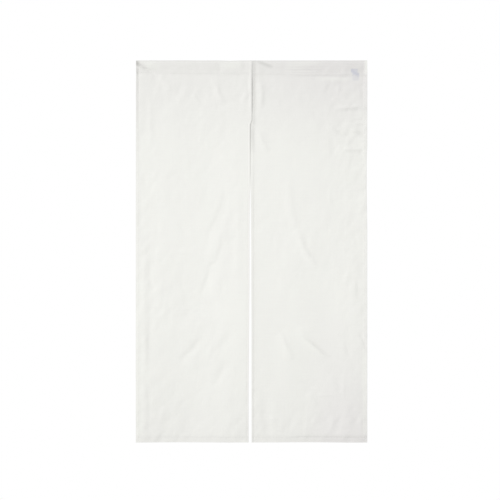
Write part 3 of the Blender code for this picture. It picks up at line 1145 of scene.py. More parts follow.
@dataclass(frozen=True)
class CareLabel:
    """The blank care label: a short tape sewn by its top edge to the back of the heading."""

    drape: Drape
    x: float = 366 * MM
    top: float = 30 * MM
    width: float = 25 * MM
    height: float = 44 * MM
    tape: float = 0.35 * MM
    apart: float = 0.5 * MM  # from the heading's back face
    curl: float = 1.6 * MM  # the free end turns away from the curtain this far
    curled: Ramp = Ramp(0.45, 0.55)  # in shares of the height
    ripple: float = 0.3 * MM
    ripple_reach: float = 4.5 * MM
    pitch: float = 1.25 * MM
    rim: float = 0.06 * MM  # the grid's finer lines lie this far in, and up to the next
    rim_ends: float = 0.2 * MM
    step: float = 0.2 * MM

    # The row of stitches along the top edge.
    sewn_below: float = 2.5 * MM
    sewn_in: float = 1.2 * MM
    guide_pitch: float = 2 * MM

    # The tape's painted show-through, where light through the cloth shows it: a slanting patch, fainter
    # below the stitches.
    blur: float = 1 * MM
    slant: float = 0.25
    slant_from: float = 42 * MM
    slant_between: tuple[float, float] = (-8 * MM, 18 * MM)
    patch_top: Ramp = Ramp(-1 * MM, 3 * MM)
    patch: float = 0.62
    patch_less: float = 0.30
    fainter: Ramp = Ramp(-5 * MM, 8 * MM)
    streak: float = 0.38
    streak_depth: float = 36 * MM
    streak_slope: float = 0.77
    streak_reach: float = 7 * MM
    streak_gain: float = 3.0

    def middle(self, x: Array, depth: Array) -> Array:
        """Place points of the tape's middle.

        Args:
            x: Places across the doorway.
            depth: Depths below the top edge.

        Returns:
            The points, with their three numbers last.
        """
        drape = self.drape
        held = drape.pocket.half_width(x, depth) + drape.pattern.cloth / 2 + self.apart + self.tape / 2
        share = (depth - self.top) / self.height
        away = self.curl * self.curled.at(share) + self.ripple * share * np.sin(x / self.ripple_reach)
        behind = held + away - drape.heading_rise(x, depth)
        return np.stack([x, behind, -depth - drape.top_sag(x, depth)], axis=-1)

    def lines(self, length: float) -> Array:
        """Space the grid's lines along a side of the tape, finer at its two edges."""
        between = spread(self.rim_ends, length - self.rim_ends, self.pitch)
        return np.concatenate([[0, self.rim], between, [length - self.rim, length]])

    def build(self, material: bpy.types.Material) -> bpy.types.Object:
        """Make the tape as a closed thin sheet with soft edges.

        Args:
            material: Its finish.

        Returns:
            The tape.
        """
        x, depth = np.meshgrid(self.x + self.lines(self.width), self.top + self.lines(self.height))
        out = -facing(self.middle, x, depth, self.step)
        right, foot = self.x + self.width - x, self.top + self.height - depth
        half = np.full(x.shape, self.tape / 2)
        full = rounded(half, (x - self.x, right, depth - self.top, foot))[..., None]
        middle = self.middle(x, depth)
        points, faces, _ = closed_skins(middle + out * full, middle - out * full, turned=True)
        return new_piece("care_label_tape", points, faces, material, ["care_label"])

    def top_row(self, sewing: "Stitching") -> Row:
        """Sew the label's top edge to the heading's back layer.

        Args:
            sewing: The stitching of the panel that it hangs on.

        Returns:
            The row of stitches.
        """
        across = spread(self.x + self.sewn_in, self.x + self.width - self.sewn_in, self.guide_pitch)
        return sewing.row(across, 0 * across - self.top - self.sewn_below, lift=self.apart + self.tape)

    def painted_show_through(self, x: Array, depth: Array) -> Array:
        """Tell how strongly the tape's painted show-through covers the cloth.

        Args:
            x: Places across the doorway.
            depth: Depths below the top edge.

        Returns:
            The share at each place, up to 1.
        """
        aside = x - self.x - self.slant * np.clip(depth - self.slant_from, *self.slant_between)
        down = depth - self.top
        sides = Ramp(-self.blur, 2 * self.blur)
        shown = sides.at(aside) * sides.at(self.width - aside)
        shown = shown * self.patch_top.at(down) * sides.at(self.height - down)
        below = self.fainter.at(depth - self.drape.pattern.stitch_depth(x))
        shown = shown * (self.patch - self.patch_less * below)
        streak = bump(depth - self.streak_depth - self.streak_slope * (x - self.x), self.streak_reach)
        return shown + self.streak * streak * smooth(shown * self.streak_gain)


@dataclass(frozen=True)
class ClothPanel:
    """One panel of the curtain as a single closed cloth, with its hems turned to the inside."""

    side: Side
    drape: Drape
    painted_shades: PaintedShades
    label: CareLabel
    hem_layers: float = 0.8 * MM  # what a pressed hem adds to the cloth
    hem_step: float = 0.8 * MM
    heading_turn: float = 9 * MM  # the heading's raw edge is turned in this far
    heading_turn_share: float = 0.45  # and adds this share of a hem
    step: float = 0.25 * MM

    # The grid: columns and rows in from the edges, in millimetres, and evenly spaced ones between.
    rim: tuple[float, ...] = (0.0, 0.08, 0.30, 0.75, 1.5)
    side_columns: tuple[float, ...] = (3.2, 5.5, 8.0, 9.4, 10.2, 11.0, 12.0, 12.4, 12.8, 14.0, 17.0)
    slit_columns: tuple[float, ...] = (
        2.4, 3.5, 4.7, 6.0, 7.4, 8.8, 10.0, 10.4, 10.8, 11.2, 12.2, 13.8, 16.0, 19.0, 22.5
    )
    hem_rows: tuple[float, ...] = (4.0, 7.5, 11.0, 14.5, 16.5, 18.5, 20.0, 20.4, 20.8, 22.5, 25.0)
    column_pitch: float = 5.0 * MM
    row_pitch: float = 3.7 * MM
    stitch_rows: float = 9 * MM  # to either side of the heading's stitch line
    stitch_row_pitch: float = 1.5 * MM
    upper_pitch: float = 2.0 * MM
    quarter_rows: int = 8  # over each quarter of the rod's place
    back_pitch: float = 2.4 * MM

    # Where the rows follow the slope of the heading's stitch line.
    slopes_from: Ramp = Ramp(12 * MM, 30 * MM)
    slopes_until: Ramp = Ramp(58 * MM, 60 * MM)
    grid_passes: int = 3

    @property
    def outer(self) -> EdgeLine:
        """The panel's edge at the curtain's side."""
        return self.drape.pattern.outer(self.side)

    @property
    def inner(self) -> EdgeLine:
        """The panel's edge at the seam and the slit."""
        return self.drape.pattern.inner(self.side)

    def middle(self, x: Array, way: Array) -> Array:
        """Place points of the cloth's middle.

        Args:
            x: Places across the doorway.
            way: The way along the cloth, as RodPocket.section takes it.

        Returns:
            The points, with their three numbers last.
        """
        beside, depth = self.drape.pocket.section(x, way)
        stands = self.drape.heading_rise(x, depth)
        if self.side is Side.RIGHT:
            beside = beside + self.drape.slit.lap(x, depth) * (way > 0)
        return np.stack([x, beside - stands, -depth - self.drape.top_sag(x, depth)], axis=-1)

    def skin(self, x: Array, way: Array) -> tuple[Array, Array]:
        """Give points of the cloth's middle, and a unit vector out of its outer face at each."""
        return self.middle(x, way), facing(self.middle, x, way, self.step)

    def last_way(self, x: Array | float) -> Array | float:
        """Tell where the back layer ends, just below the stitch line."""
        return -(self.drape.pattern.stitch_depth(x) + self.drape.pattern.turned_over)

    def edge_distances(self, x: Array, way: Array) -> tuple[Array, Array, Array, Array]:
        """Measure how far points lie from the cloth's edges.

        Args:
            x: Places across the doorway.
            way: The way along the cloth.

        Returns:
            The distances from the outer edge, the inner one, the bottom one and the back layer's end.
        """
        _, depth = self.drape.pocket.section(x, way)
        from_outer = np.abs(x - self.outer.x(depth))
        from_inner = np.abs(self.inner.x(depth) - x)
        return from_outer, from_inner, self.drape.pattern.drop - way, way - self.last_way(x)

    def hemmed(self, x: Array, way: Array) -> Array:
        """Tell where the cloth is turned in for a hem.

        Args:
            x: Places across the doorway.
            way: The way along the cloth.

        Returns:
            1 in a hem and 0 in a single layer.
        """
        pattern = self.drape.pattern
        outer, inner, bottom, last = self.edge_distances(x, way)
        single = smooth((outer - pattern.side_hem) / self.hem_step)
        slit_hem = 1 - smooth((inner - pattern.slit_hem) / self.hem_step)
        single = single * (1 - pattern.below_heading.at(way) * slit_hem)
        single = single * smooth((bottom - pattern.bottom_hem) / self.hem_step)
        raw_edge = 1 - smooth((last - self.heading_turn) / self.hem_step)
        return 1 - single * (1 - self.heading_turn_share * raw_edge)

    def offsets(self, x: Array, way: Array) -> tuple[Array, Array]:
        """Work out how far the two faces lie from the cloth's middle, round at every edge.

        Args:
            x: Places across the doorway.
            way: The way along the cloth.

        Returns:
            The distance out to the outer face, and the distance in to the inner one.
        """
        hem = self.hem_layers * self.hemmed(x, way)
        full = rounded((self.drape.pattern.cloth + hem) / 2, self.edge_distances(x, way))
        return full - hem / 2, full + hem / 2

    def columns(self) -> tuple[Array, Array]:
        """Share out the columns between the two edges.

        Returns:
            For each column its distance in from the outer edge and a share from 0 to 1 of the room that
            is left between the fine columns at the two edges. A column with a share of 1 counts its
            distance, which is then below nothing, from the inner edge.
        """
        near_outer = np.array(self.rim + self.side_columns) * MM
        near_inner = np.array(self.rim + self.slit_columns) * MM
        width = self.drape.pattern.width / 2 - near_outer[-1] - near_inner[-1]
        shares = spread(0.0, 1.0, self.column_pitch / width)[1:-1]
        distance = np.concatenate([near_outer, near_outer[-1] + 0 * shares, -near_inner[::-1]])
        share = np.concatenate([0 * near_outer, shares, 1 + 0 * near_inner])
        return distance, share

    def ways(self) -> Array:
        """Space the rows for a level stitch line.

        Returns:
            Each row's way along the cloth, from the bottom edge to the end of the back layer.
        """
        pattern, quarter = self.drape.pattern, self.drape.pocket.quarter
        rim = np.array(self.rim) * MM
        stitches, last = pattern.stitch_depth(0), self.last_way(0)
        hem = pattern.drop - np.array(self.hem_rows) * MM
        fine = spread(stitches + self.stitch_rows, stitches - self.stitch_rows, self.stitch_row_pitch)
        front = spread(hem[-1], fine[0], self.row_pitch)[1:-1]
        upper = spread(fine[-1], quarter, self.upper_pitch)[1:-1]
        over = spread(quarter, -quarter, quarter / self.quarter_rows)
        back = spread(-quarter, last + rim[-1], self.back_pitch)[1:-1]
        return np.concatenate([pattern.drop - rim, hem, front, fine, upper, over, back, last + rim[::-1]])

    def sloped(self, level: Array, x: Array) -> Array:
        """Slope the rows near the heading's stitch line, as it slopes.

        Args:
            level: The rows' ways for a level stitch line, a row of the grid in each row.
            x: Places across the doorway.

        Returns:
            The ways along the cloth.
        """
        slope = self.drape.pattern.stitch_depth(x) - self.drape.pattern.stitch_depth(0)
        away = np.abs(level)
        near = (1 - self.slopes_until.at(away)) * self.slopes_from.at(away)
        return level + np.sign(level) * slope * near

    def grid(self) -> tuple[Array, Array]:
        """Lay out the panel's grid.

        Returns:
            The places across the doorway and the ways along the cloth, a row of the grid in each row.
        """
        level = self.ways()[:, None]
        distance, share = self.columns()
        room_taken = np.max(distance[share == 0]) - np.min(distance)
        x = np.full((len(level), len(share)), self.outer.x(np.array(0.0)) / 2)
        for _ in range(self.grid_passes):
            way = self.sloped(level, x)
            _, depth = self.drape.pocket.section(x, way)
            outer, inner = self.outer.x(depth), self.inner.x(depth)
            inward = np.sign(inner - outer)
            from_outer = outer + inward * np.abs(distance)
            from_inner = inner - inward * np.abs(distance)
            between = from_outer + inward * share * (np.abs(inner - outer) - room_taken)
            x = np.where(share == 1, from_inner, between)
        return x, way

    def build(
        self, name: str, material: bpy.types.Material, replaces: Sequence[str]
    ) -> bpy.types.Object:
        """Make the panel's cloth.

        Args:
            name: The piece's name.
            material: Its finish.
            replaces: The nodes that it stands for.

        Returns:
            The cloth as one closed mesh.
        """
        x, way = self.grid()
        middle, out = self.skin(x, way)
        outward, inward = self.offsets(x, way)
        front = middle + out * outward[..., None]
        back = middle - out * inward[..., None]
        points, faces, inside = closed_skins(front, back, turned=self.side is Side.RIGHT)
        piece = new_piece(name, points, faces, material, replaces)
        for reading, values in self.readings(x, way).items():
            # The painted shadow is painted on the outer face only.
            seen_behind = 0.0 if reading == "painted_shadow" else 1.0
            add_reading(piece, reading, np.concatenate([values.ravel(), values[inside] * seen_behind]))
        return piece

    def readings(self, x: Array, way: Array) -> dict[str, Array]:
        """Work out the numbers that the cloth's finish reads at each point.

        Args:
            x: Places across the doorway.
            way: The way along the cloth.

        Returns:
            painted_shade: painted shade where less light falls on or comes through the cloth, lowered by
                painted highlight;
            painted_shadow: painted shadow in a sharp crease or a line of stitches; tape: how strongly the
                label's painted show-through covers the cloth.
        """
        _, depth = self.drape.pocket.section(x, way)
        # Painted shadow, and below nothing painted highlight, which lowers the painted shade.
        painted_shadow = self.painted_shades.painted_shadow_share(x, depth) * (way > 0)
        painted_shade = self.painted_shades.painted_shade_share(x, depth, self.hemmed(x, way)) + np.minimum(painted_shadow, 0)
        return {"painted_shade": painted_shade, "painted_shadow": np.maximum(painted_shadow, 0), "tape": self.label.painted_show_through(x, depth)}


@dataclass(frozen=True)
class Stitching:
    """Stitches on a panel: short threads that lie on the cloth and dip into it at both ends."""

    panel: ClothPanel
    pitch: float = 3.0 * MM
    stitch: float = 2.5 * MM
    sides: int = 5
    along: tuple[float, ...] = (0.0, 0.2, 0.5, 0.8, 1.0)  # where a stitch has its rings
    heights: tuple[float, ...] = (-0.10 * MM, 0.12 * MM, 0.20 * MM, 0.12 * MM, -0.10 * MM)
    radii: tuple[float, ...] = (0.12 * MM, 0.22 * MM, 0.24 * MM, 0.22 * MM, 0.12 * MM)
    strand: float = 0.9 * MM  # one turn of the thread's strands

    # Where the rows run.
    edge_room: float = 1.5 * MM  # in from the cloth's edge, and from the edge of a hem's fold
    end_room: float = 3 * MM
    guide_pitch: float = 5 * MM
    heading_inner_depth: float = 50 * MM  # where the heading's row meets the inner edge
    inside_from: float = 4 * MM  # below the heading's stitches the side hem's row shows inside
    slit_from: float = 6 * MM  # below the seam's end
    seam_aside: float = 3 * MM
    seam_from: float = 4 * MM
    seam_guide_pitch: float = 4 * MM
    bar_rows: int = 4
    bar_pitch: float = 0.8 * MM
    bar_between: tuple[float, float] = (-7 * MM, -3 * MM)

    def row(self, x: Array, way: Array, face: Face = Face.OUTER, lift: float = 0.0) -> Row:
        """Sew one row of stitches.

        Args:
            x: Places across the doorway along the row.
            way: The ways along the cloth at the same points.
            face: The face of the cloth that the stitches lie on.
            lift: How far over that face they lie.

        Returns:
            The row, in rings of stitches.
        """
        length = np.concatenate([[0.0], np.cumsum(np.hypot(np.diff(x), np.diff(way)))])
        count = int((length[-1] - self.stitch) // self.pitch) + 1
        start = (length[-1] - (count - 1) * self.pitch - self.stitch) / 2
        reached = start + self.pitch * np.arange(count)[:, None] + self.stitch * np.array(self.along)
        at_x, at_way = np.interp(reached, length, x), np.interp(reached, length, way)
        middle, out = self.panel.skin(at_x, at_way)
        outward, inward = self.panel.offsets(at_x, at_way)
        up = face.value * out
        base = middle + up * (outward if face is Face.OUTER else inward)[..., None]
        run = (base[:, -1] - base[:, 0])[:, None, :] + 0 * base
        run /= np.linalg.norm(run, axis=-1, keepdims=True)
        beside = np.cross(run, up)
        centre = base + up * (np.array(self.heights) + lift)[:, None]
        turn = 2 * math.pi * np.arange(self.sides) / self.sides - math.pi / 2
        ring = np.cos(turn)[:, None] * beside[..., None, :] + np.sin(turn)[:, None] * up[..., None, :]
        points = centre[..., None, :] + np.array(self.radii)[:, None, None] * ring
        strands = reached[..., None] / self.strand + 2 * np.arange(self.sides) / self.sides
        return points.reshape(-1, 3), strands.ravel()

    def sewn(self, name: str, rows: Sequence[Row], material: bpy.types.Material) -> bpy.types.Object:
        """Join rows of stitches into one piece.

        Args:
            name: The piece's name.
            rows: What row() gave for each.
            material: The thread's finish.

        Returns:
            The piece.
        """
        points = np.concatenate([row[0] for row in rows])
        number = np.arange(len(points)).reshape(-1, len(self.along), self.sides)
        turned = np.roll(number, -1, axis=2)
        corners = [number[:, :-1], number[:, 1:], turned[:, 1:], turned[:, :-1]]
        walls = np.stack(corners, axis=-1).reshape(-1, 4)
        faces = [*walls.tolist(), *number[:, 0].tolist(), *number[:, -1, ::-1].tolist()]
        piece = new_piece(name, points, faces, material)
        add_reading(piece, "twist", np.concatenate([row[1] for row in rows]))
        return piece

    def level_guide(self, outer_depth: float, inner_depth: float) -> Array:
        """Space the guide points of a level row between the panel's edges.

        Args:
            outer_depth: The depth at which the outer edge is read.
            inner_depth: The depth at which the inner edge is read.

        Returns:
            Places across the doorway, from the outer edge to the inner one.
        """
        room = self.panel.side.inward * self.edge_room
        start = self.panel.outer.x(np.array(outer_depth)) + room
        return spread(start, self.panel.inner.x(np.array(inner_depth)) - room, self.guide_pitch)

    def panel_rows(self) -> list[Row]:
        """Sew a panel's heading, its side and slit hems and its bottom hem.

        Returns:
            The rows on both its faces.
        """
        panel, pattern = self.panel, self.panel.drape.pattern
        across = self.level_guide(0.0, self.heading_inner_depth)
        rows = [self.row(across, sign * pattern.stitch_depth(across)) for sign in (1, -1)]
        lowest = pattern.drop - self.end_room
        side = spread(float(panel.last_way(across[0])) + self.end_room, lowest, self.guide_pitch)
        side_x = panel.outer.x(np.abs(side)) + panel.side.inward * (pattern.side_hem - self.edge_room)
        shown = side > pattern.stitch_depth(across[0]) + self.inside_from
        rows.append(self.row(side_x, side))
        rows.append(self.row(side_x[shown], side[shown], Face.INNER))
        slit = spread(pattern.seam_length + self.slit_from, lowest, self.guide_pitch)
        bottom_x = self.level_guide(pattern.drop, pattern.drop)
        bottom = 0 * bottom_x + pattern.drop - pattern.bottom_stitch
        for face in Face:
            rows.append(self.row(pattern.slit_stitch_x(panel.side, slit), slit, face))
            rows.append(self.row(bottom_x, bottom, face))
        return rows

    def seam_rows(self) -> list[Row]:
        """Sew the centre seam beside the left panel's edge, with a bar of stitches at its lower end.

        Returns:
            The rows, on the outer face.
        """
        pattern = self.panel.drape.pattern
        down = spread(self.seam_from, pattern.seam_length, self.seam_guide_pitch)
        rows = [self.row(pattern.left_inner.x(0 * down) - self.seam_aside, down)]
        bar = np.array(self.bar_between)
        for step in range(self.bar_rows):
            rows.append(self.row(bar, 0 * bar + pattern.seam_length + (step - 1) * self.bar_pitch))
        return rows


# ---------------------------------------------------------------------------------------------------
# Finishes
# ---------------------------------------------------------------------------------------------------

Colour = tuple[float, float, float]
Range = tuple[float, float]
MOST_NOISE: Range = (0.3, 0.7)  # what a noise's height mostly lies between


class Finish:
    """A material's node tree, with each node added by its type."""

    def __init__(self, name: str) -> None:
        """Start an empty material with a Principled shader.

        Args:
            name: The material's name.
        """
        self.material = bpy.data.materials.new(name)
        self.material.use_nodes = True
        self.tree = self.material.node_tree
        self.shader = self.tree.nodes["Principled BSDF"]

    def node(self, kind: str, settings: dict | None = None, inputs: dict | None = None) -> bpy.types.Node:
        """Add a node.

        Args:
            kind: The node's type, without the words ShaderNode in front.
            settings: Its own settings, which are set first.
            inputs: A value, a socket or a Number for each named socket.

        Returns:
            The new node.
        """
        made = self.tree.nodes.new("ShaderNode" + kind)
        for name, value in (settings or {}).items():
            setattr(made, name, value)
        for name, value in (inputs or {}).items():
            self.feed(made, name, value)
        return made

    def feed(self, node: bpy.types.Node, name: str, value: object) -> None:
        """Give a socket its value, or link it to another socket.

        Args:
            node: The node that has the socket.
            name: The socket's identifier or its name.
            value: A value, a socket or a Number.
        """
        named = {socket.identifier: socket for socket in node.inputs}
        socket = named[name] if name in named else node.inputs[name]
        if isinstance(value, Number):
            value = value.socket
        if isinstance(value, bpy.types.NodeSocket):
            self.tree.links.new(value, socket)
        else:
            socket.default_value = value

    def feed_shader(self, inputs: dict) -> None:
        """Give the Principled shader's sockets their values, or link them."""
        for name, value in inputs.items():
            self.feed(self.shader, name, value)

    def number(self, node: bpy.types.Node, output: str = "Value") -> "Number":
        """Wrap an output so that it takes part in sums."""
        return Number(self, node.outputs[output])

    def reading(self, name: str) -> "Number":
        """Read a number that a piece keeps for each of its points."""
        return self.number(self.node("Attribute", {"attribute_name": name}), "Fac")

    def blend(self, share: "Number", first: object, second: Colour) -> bpy.types.NodeSocket:
        """Mix two colours.

        Args:
            share: How much there is of the second colour.
            first: The first colour, or the socket that gives it.
            second: The second colour.

        Returns:
            The socket with the mixed colour.
        """
        if isinstance(first, tuple):
            first = (*first, 1.0)
        settings = {"data_type": "RGBA", "blend_type": "MIX", "clamp_factor": True}
        inputs = {"Factor_Float": share, "A_Color": first, "B_Color": (*second, 1.0)}
        mixed = self.node("Mix", settings, inputs)
        return next(socket for socket in mixed.outputs if socket.identifier == "Result_Color")

    def noise(
        self, where: bpy.types.NodeSocket, scale: float = 1.0, detail: float = 2.0, roughness: float = 0.5
    ) -> "Number":
        """Add a noise texture and give its height, from 0 to 1."""
        inputs = {"Vector": where, "Scale": scale, "Detail": detail, "Roughness": roughness}
        return self.number(self.node("TexNoise", {"noise_dimensions": "3D"}, inputs), "Fac")

    def fibres(self, where: bpy.types.NodeSocket, scale: tuple[float, float, float]) -> "Number":
        """Add noise that runs along one axis, as fibres do.

        Args:
            where: The place that it is read at.
            scale: How fast it changes along each axis.

        Returns:
            Its height, from 0 to 1.
        """
        inputs = {"Vector": where, "Vector_001": scale}
        stretched = self.node("VectorMath", {"operation": "MULTIPLY"}, inputs).outputs["Vector"]
        return self.noise(stretched)

    def raise_by(self, height: "Number") -> None:
        """Let a height in metres bend the light on the surface."""
        bumped = self.node("Bump", inputs={"Height": height, "Distance": 1.0})
        self.feed_shader({"Normal": bumped.outputs["Normal"]})


class Number:
    """A number that changes over a surface. Sums with it add the nodes that work them out."""

    def __init__(self, finish: Finish, socket: bpy.types.NodeSocket) -> None:
        """Wrap a socket of a finish's tree."""
        self.finish = finish
        self.socket = socket

    def math(self, operation: str, *others: object) -> "Number":
        """Add a Math node on this number and others.

        Args:
            operation: What the node does.
            others: The numbers that it takes after this one.

        Returns:
            The number that it gives.
        """
        inputs = dict(zip(("Value", "Value_001"), (self, *others)))
        return self.finish.number(self.finish.node("Math", {"operation": operation}, inputs))

    def __add__(self, other: object) -> "Number":
        """Add."""
        return self.math("ADD", other)

    __radd__ = __add__

    def __mul__(self, other: object) -> "Number":
        """Multiply."""
        return self.math("MULTIPLY", other)

    __rmul__ = __mul__

    def sine(self) -> "Number":
        """Take the sine."""
        return self.math("SINE")

    def between(self, low: float, high: float, first: float, last: float) -> "Number":
        """Go smoothly from one number to another as this number rises.

        Args:
            low: This number where the first one holds.
            high: This number where the last one holds.
            first: What is given at and below low.
            last: What is given at and above high.

        Returns:
            The number that it gives.
        """
        settings = {"interpolation_type": "SMOOTHSTEP"}
        inputs = {"Value": self, "From Min": low, "From Max": high, "To Min": first, "To Max": last}
        return self.finish.number(self.finish.node("MapRange", settings, inputs), "Result")


@dataclass(frozen=True)
class WovenCloth:
    """Plain-woven off-white cotton: matt and faintly slubbed, with painted shade where layers lie together
    and elsewhere, painted crease shadow, and the label's painted show-through mixed into its colour.
    """

    name: str = "woven_cloth"
    colour: Colour = (0.842, 0.845, 0.808)
    # Colours of the painted shade, the painted crease shadow and the label's painted show-through.
    shaded: Colour = (0.73, 0.708, 0.71)
    painted_crease_shadow: Colour = (0.42, 0.42, 0.40)
    painted_show_through_colour: Colour = (0.605, 0.612, 0.672)
    painted_shadow_strength: float = 0.27

    # The weave, whose threads drift a little from straight lines.
    thread: float = 0.9 * MM
    weave_height: float = 0.05 * MM
    drift: float = 0.54 * MM
    drift_scale: float = 35.0
    drift_detail: float = 1.0

    # Slubs in the threads, and larger patches.
    warp_slubs: tuple[float, float, float] = (420.0, 1.0, 9.0)
    weft_slubs: tuple[float, float, float] = (7.0, 1.0, 380.0)
    slub_height: float = 0.10 * MM
    slub_shade: float = 0.10
    slub_range: Range = (0.35, 0.65)  # the heights from the most shaded to the least
    patch_scale: float = 9.0
    patch_detail: float = 3.0
    patch_roughness: float = 0.6
    patch_shade: float = 0.05

    # The surface.
    roughest: float = 0.93
    smoothest: float = 0.84
    sheen: float = 0.12
    sheen_roughness: float = 0.5
    specular: float = 0.25

    def weave(self, finish: Finish, where: bpy.types.NodeSocket) -> Number:
        """Cross the warp's threads with the weft's.

        Args:
            finish: The material that is being built.
            where: The place on the cloth.

        Returns:
            A height from -1 to 1.
        """
        parts = finish.node("SeparateXYZ", inputs={"Vector": where})
        drift = finish.noise(where, self.drift_scale, self.drift_detail) * self.drift
        warp = ((finish.number(parts, "X") + drift) * (math.pi / self.thread)).sine()
        weft = ((finish.number(parts, "Z") + drift) * (math.pi / self.thread)).sine()
        return warp * weft

    def make(self) -> bpy.types.Material:
        """Build the material.

        Returns:
            The cloth's finish.
        """
        finish = Finish(self.name)
        where = finish.node("TexCoord").outputs["Object"]
        slubs = (finish.fibres(where, self.warp_slubs) + finish.fibres(where, self.weft_slubs)) * 0.5
        patches = finish.noise(where, self.patch_scale, self.patch_detail, self.patch_roughness)
        tone = slubs.between(*self.slub_range, self.slub_shade, 0.0)
        # The slubs' and patches' tone is the cloth's own; the reading adds painted shade, less where painted
        # highlight lowers it.
        tone = tone + patches.between(*MOST_NOISE, self.patch_shade, 0.0) + finish.reading("painted_shade")
        base = finish.blend(tone, self.colour, self.shaded)
        # Painted crease shadow, then the label's painted show-through.
        base = finish.blend(finish.reading("painted_shadow") * self.painted_shadow_strength, base, self.painted_crease_shadow)
        base = finish.blend(finish.reading("tape"), base, self.painted_show_through_colour)
        roughness = slubs.between(*MOST_NOISE, self.roughest, self.smoothest)
        finish.feed_shader({"Base Color": base, "Roughness": roughness})
        finish.feed_shader({"Sheen Weight": self.sheen, "Sheen Roughness": self.sheen_roughness})
        finish.feed_shader({"Specular IOR Level": self.specular})
        finish.raise_by(self.weave(finish, where) * self.weave_height + slubs * self.slub_height)
        return finish.material


@dataclass(frozen=True)
class LabelTape:
    """Smooth violet-grey satin tape, blank."""

    name: str = "violet_grey_tape"
    colour: Colour = (0.62, 0.62, 0.72)
    darker: Colour = (0.52, 0.52, 0.63)
    rib: float = 0.5 * MM
    rib_shade: float = 0.12
    fibres: tuple[float, float, float] = (2600.0, 1.0, 160.0)
    fibre_shade: float = 0.4
    relief: float = 0.02 * MM
    glossiest: float = 0.42
    dullest: float = 0.58
    sheen: float = 0.2

    def make(self) -> bpy.types.Material:
        """Build the material.

        Returns:
            The tape's finish.
        """
        finish = Finish(self.name)
        where = finish.node("TexCoord").outputs["Object"]
        parts = finish.node("SeparateXYZ", inputs={"Vector": where})
        ribs = (finish.number(parts, "Z") * (2 * math.pi / self.rib)).sine()
        fibres = finish.fibres(where, self.fibres)
        tone = ribs * self.rib_shade + fibres.between(*MOST_NOISE, 0.0, self.fibre_shade)
        roughness = fibres.between(*MOST_NOISE, self.glossiest, self.dullest)
        base = finish.blend(tone, self.colour, self.darker)
        finish.feed_shader({"Base Color": base, "Roughness": roughness, "Sheen Weight": self.sheen})
        finish.raise_by(ribs * self.relief + fibres * self.relief)
        return finish.material


@dataclass(frozen=True)
class SewingThread:
    """Twisted off-white sewing thread, a little glossier than the cloth, with painted shade between its
    strands.
    """

    name: str = "sewing_thread"
    colour: Colour = (0.80, 0.80, 0.765)
    darker: Colour = (0.62, 0.61, 0.58)
    painted_strand_shade: float = 0.5  # between the strands
    painted_strand_shade_ends: float = -0.2  # the height up the strands, of -1 to 1, where that has gone
    relief: float = 0.04 * MM
    glossiest: float = 0.5
    dullest: float = 0.7

    def make(self) -> bpy.types.Material:
        """Build the material.

        Returns:
            The thread's finish.
        """
        finish = Finish(self.name)
        strands = (finish.reading("twist") * (2 * math.pi)).sine()
        # Painted shade in the grooves between the strands.
        between = strands.between(-1.0, self.painted_strand_shade_ends, self.painted_strand_shade, 0.0)
        base = finish.blend(between, self.colour, self.darker)
        roughness = strands.between(-1.0, 1.0, self.dullest, self.glossiest)
        finish.feed_shader({"Base Color": base, "Roughness": roughness})
        finish.raise_by(strands * self.relief)
        return finish.material


@dataclass(frozen=True)
class StudioFloor:
    """Plain pale matt floor."""

    name: str = "studio_floor"
    colour: Colour = (0.80, 0.80, 0.79)
    roughness: float = 0.9

    def make(self) -> bpy.types.Material:
        """Build the material.

        Returns:
            The floor's finish.
        """
        finish = Finish(self.name)
        finish.feed_shader({"Base Color": (*self.colour, 1.0), "Roughness": self.roughness})
        return finish.material


# ---------------------------------------------------------------------------------------------------
# Studio
# ---------------------------------------------------------------------------------------------------


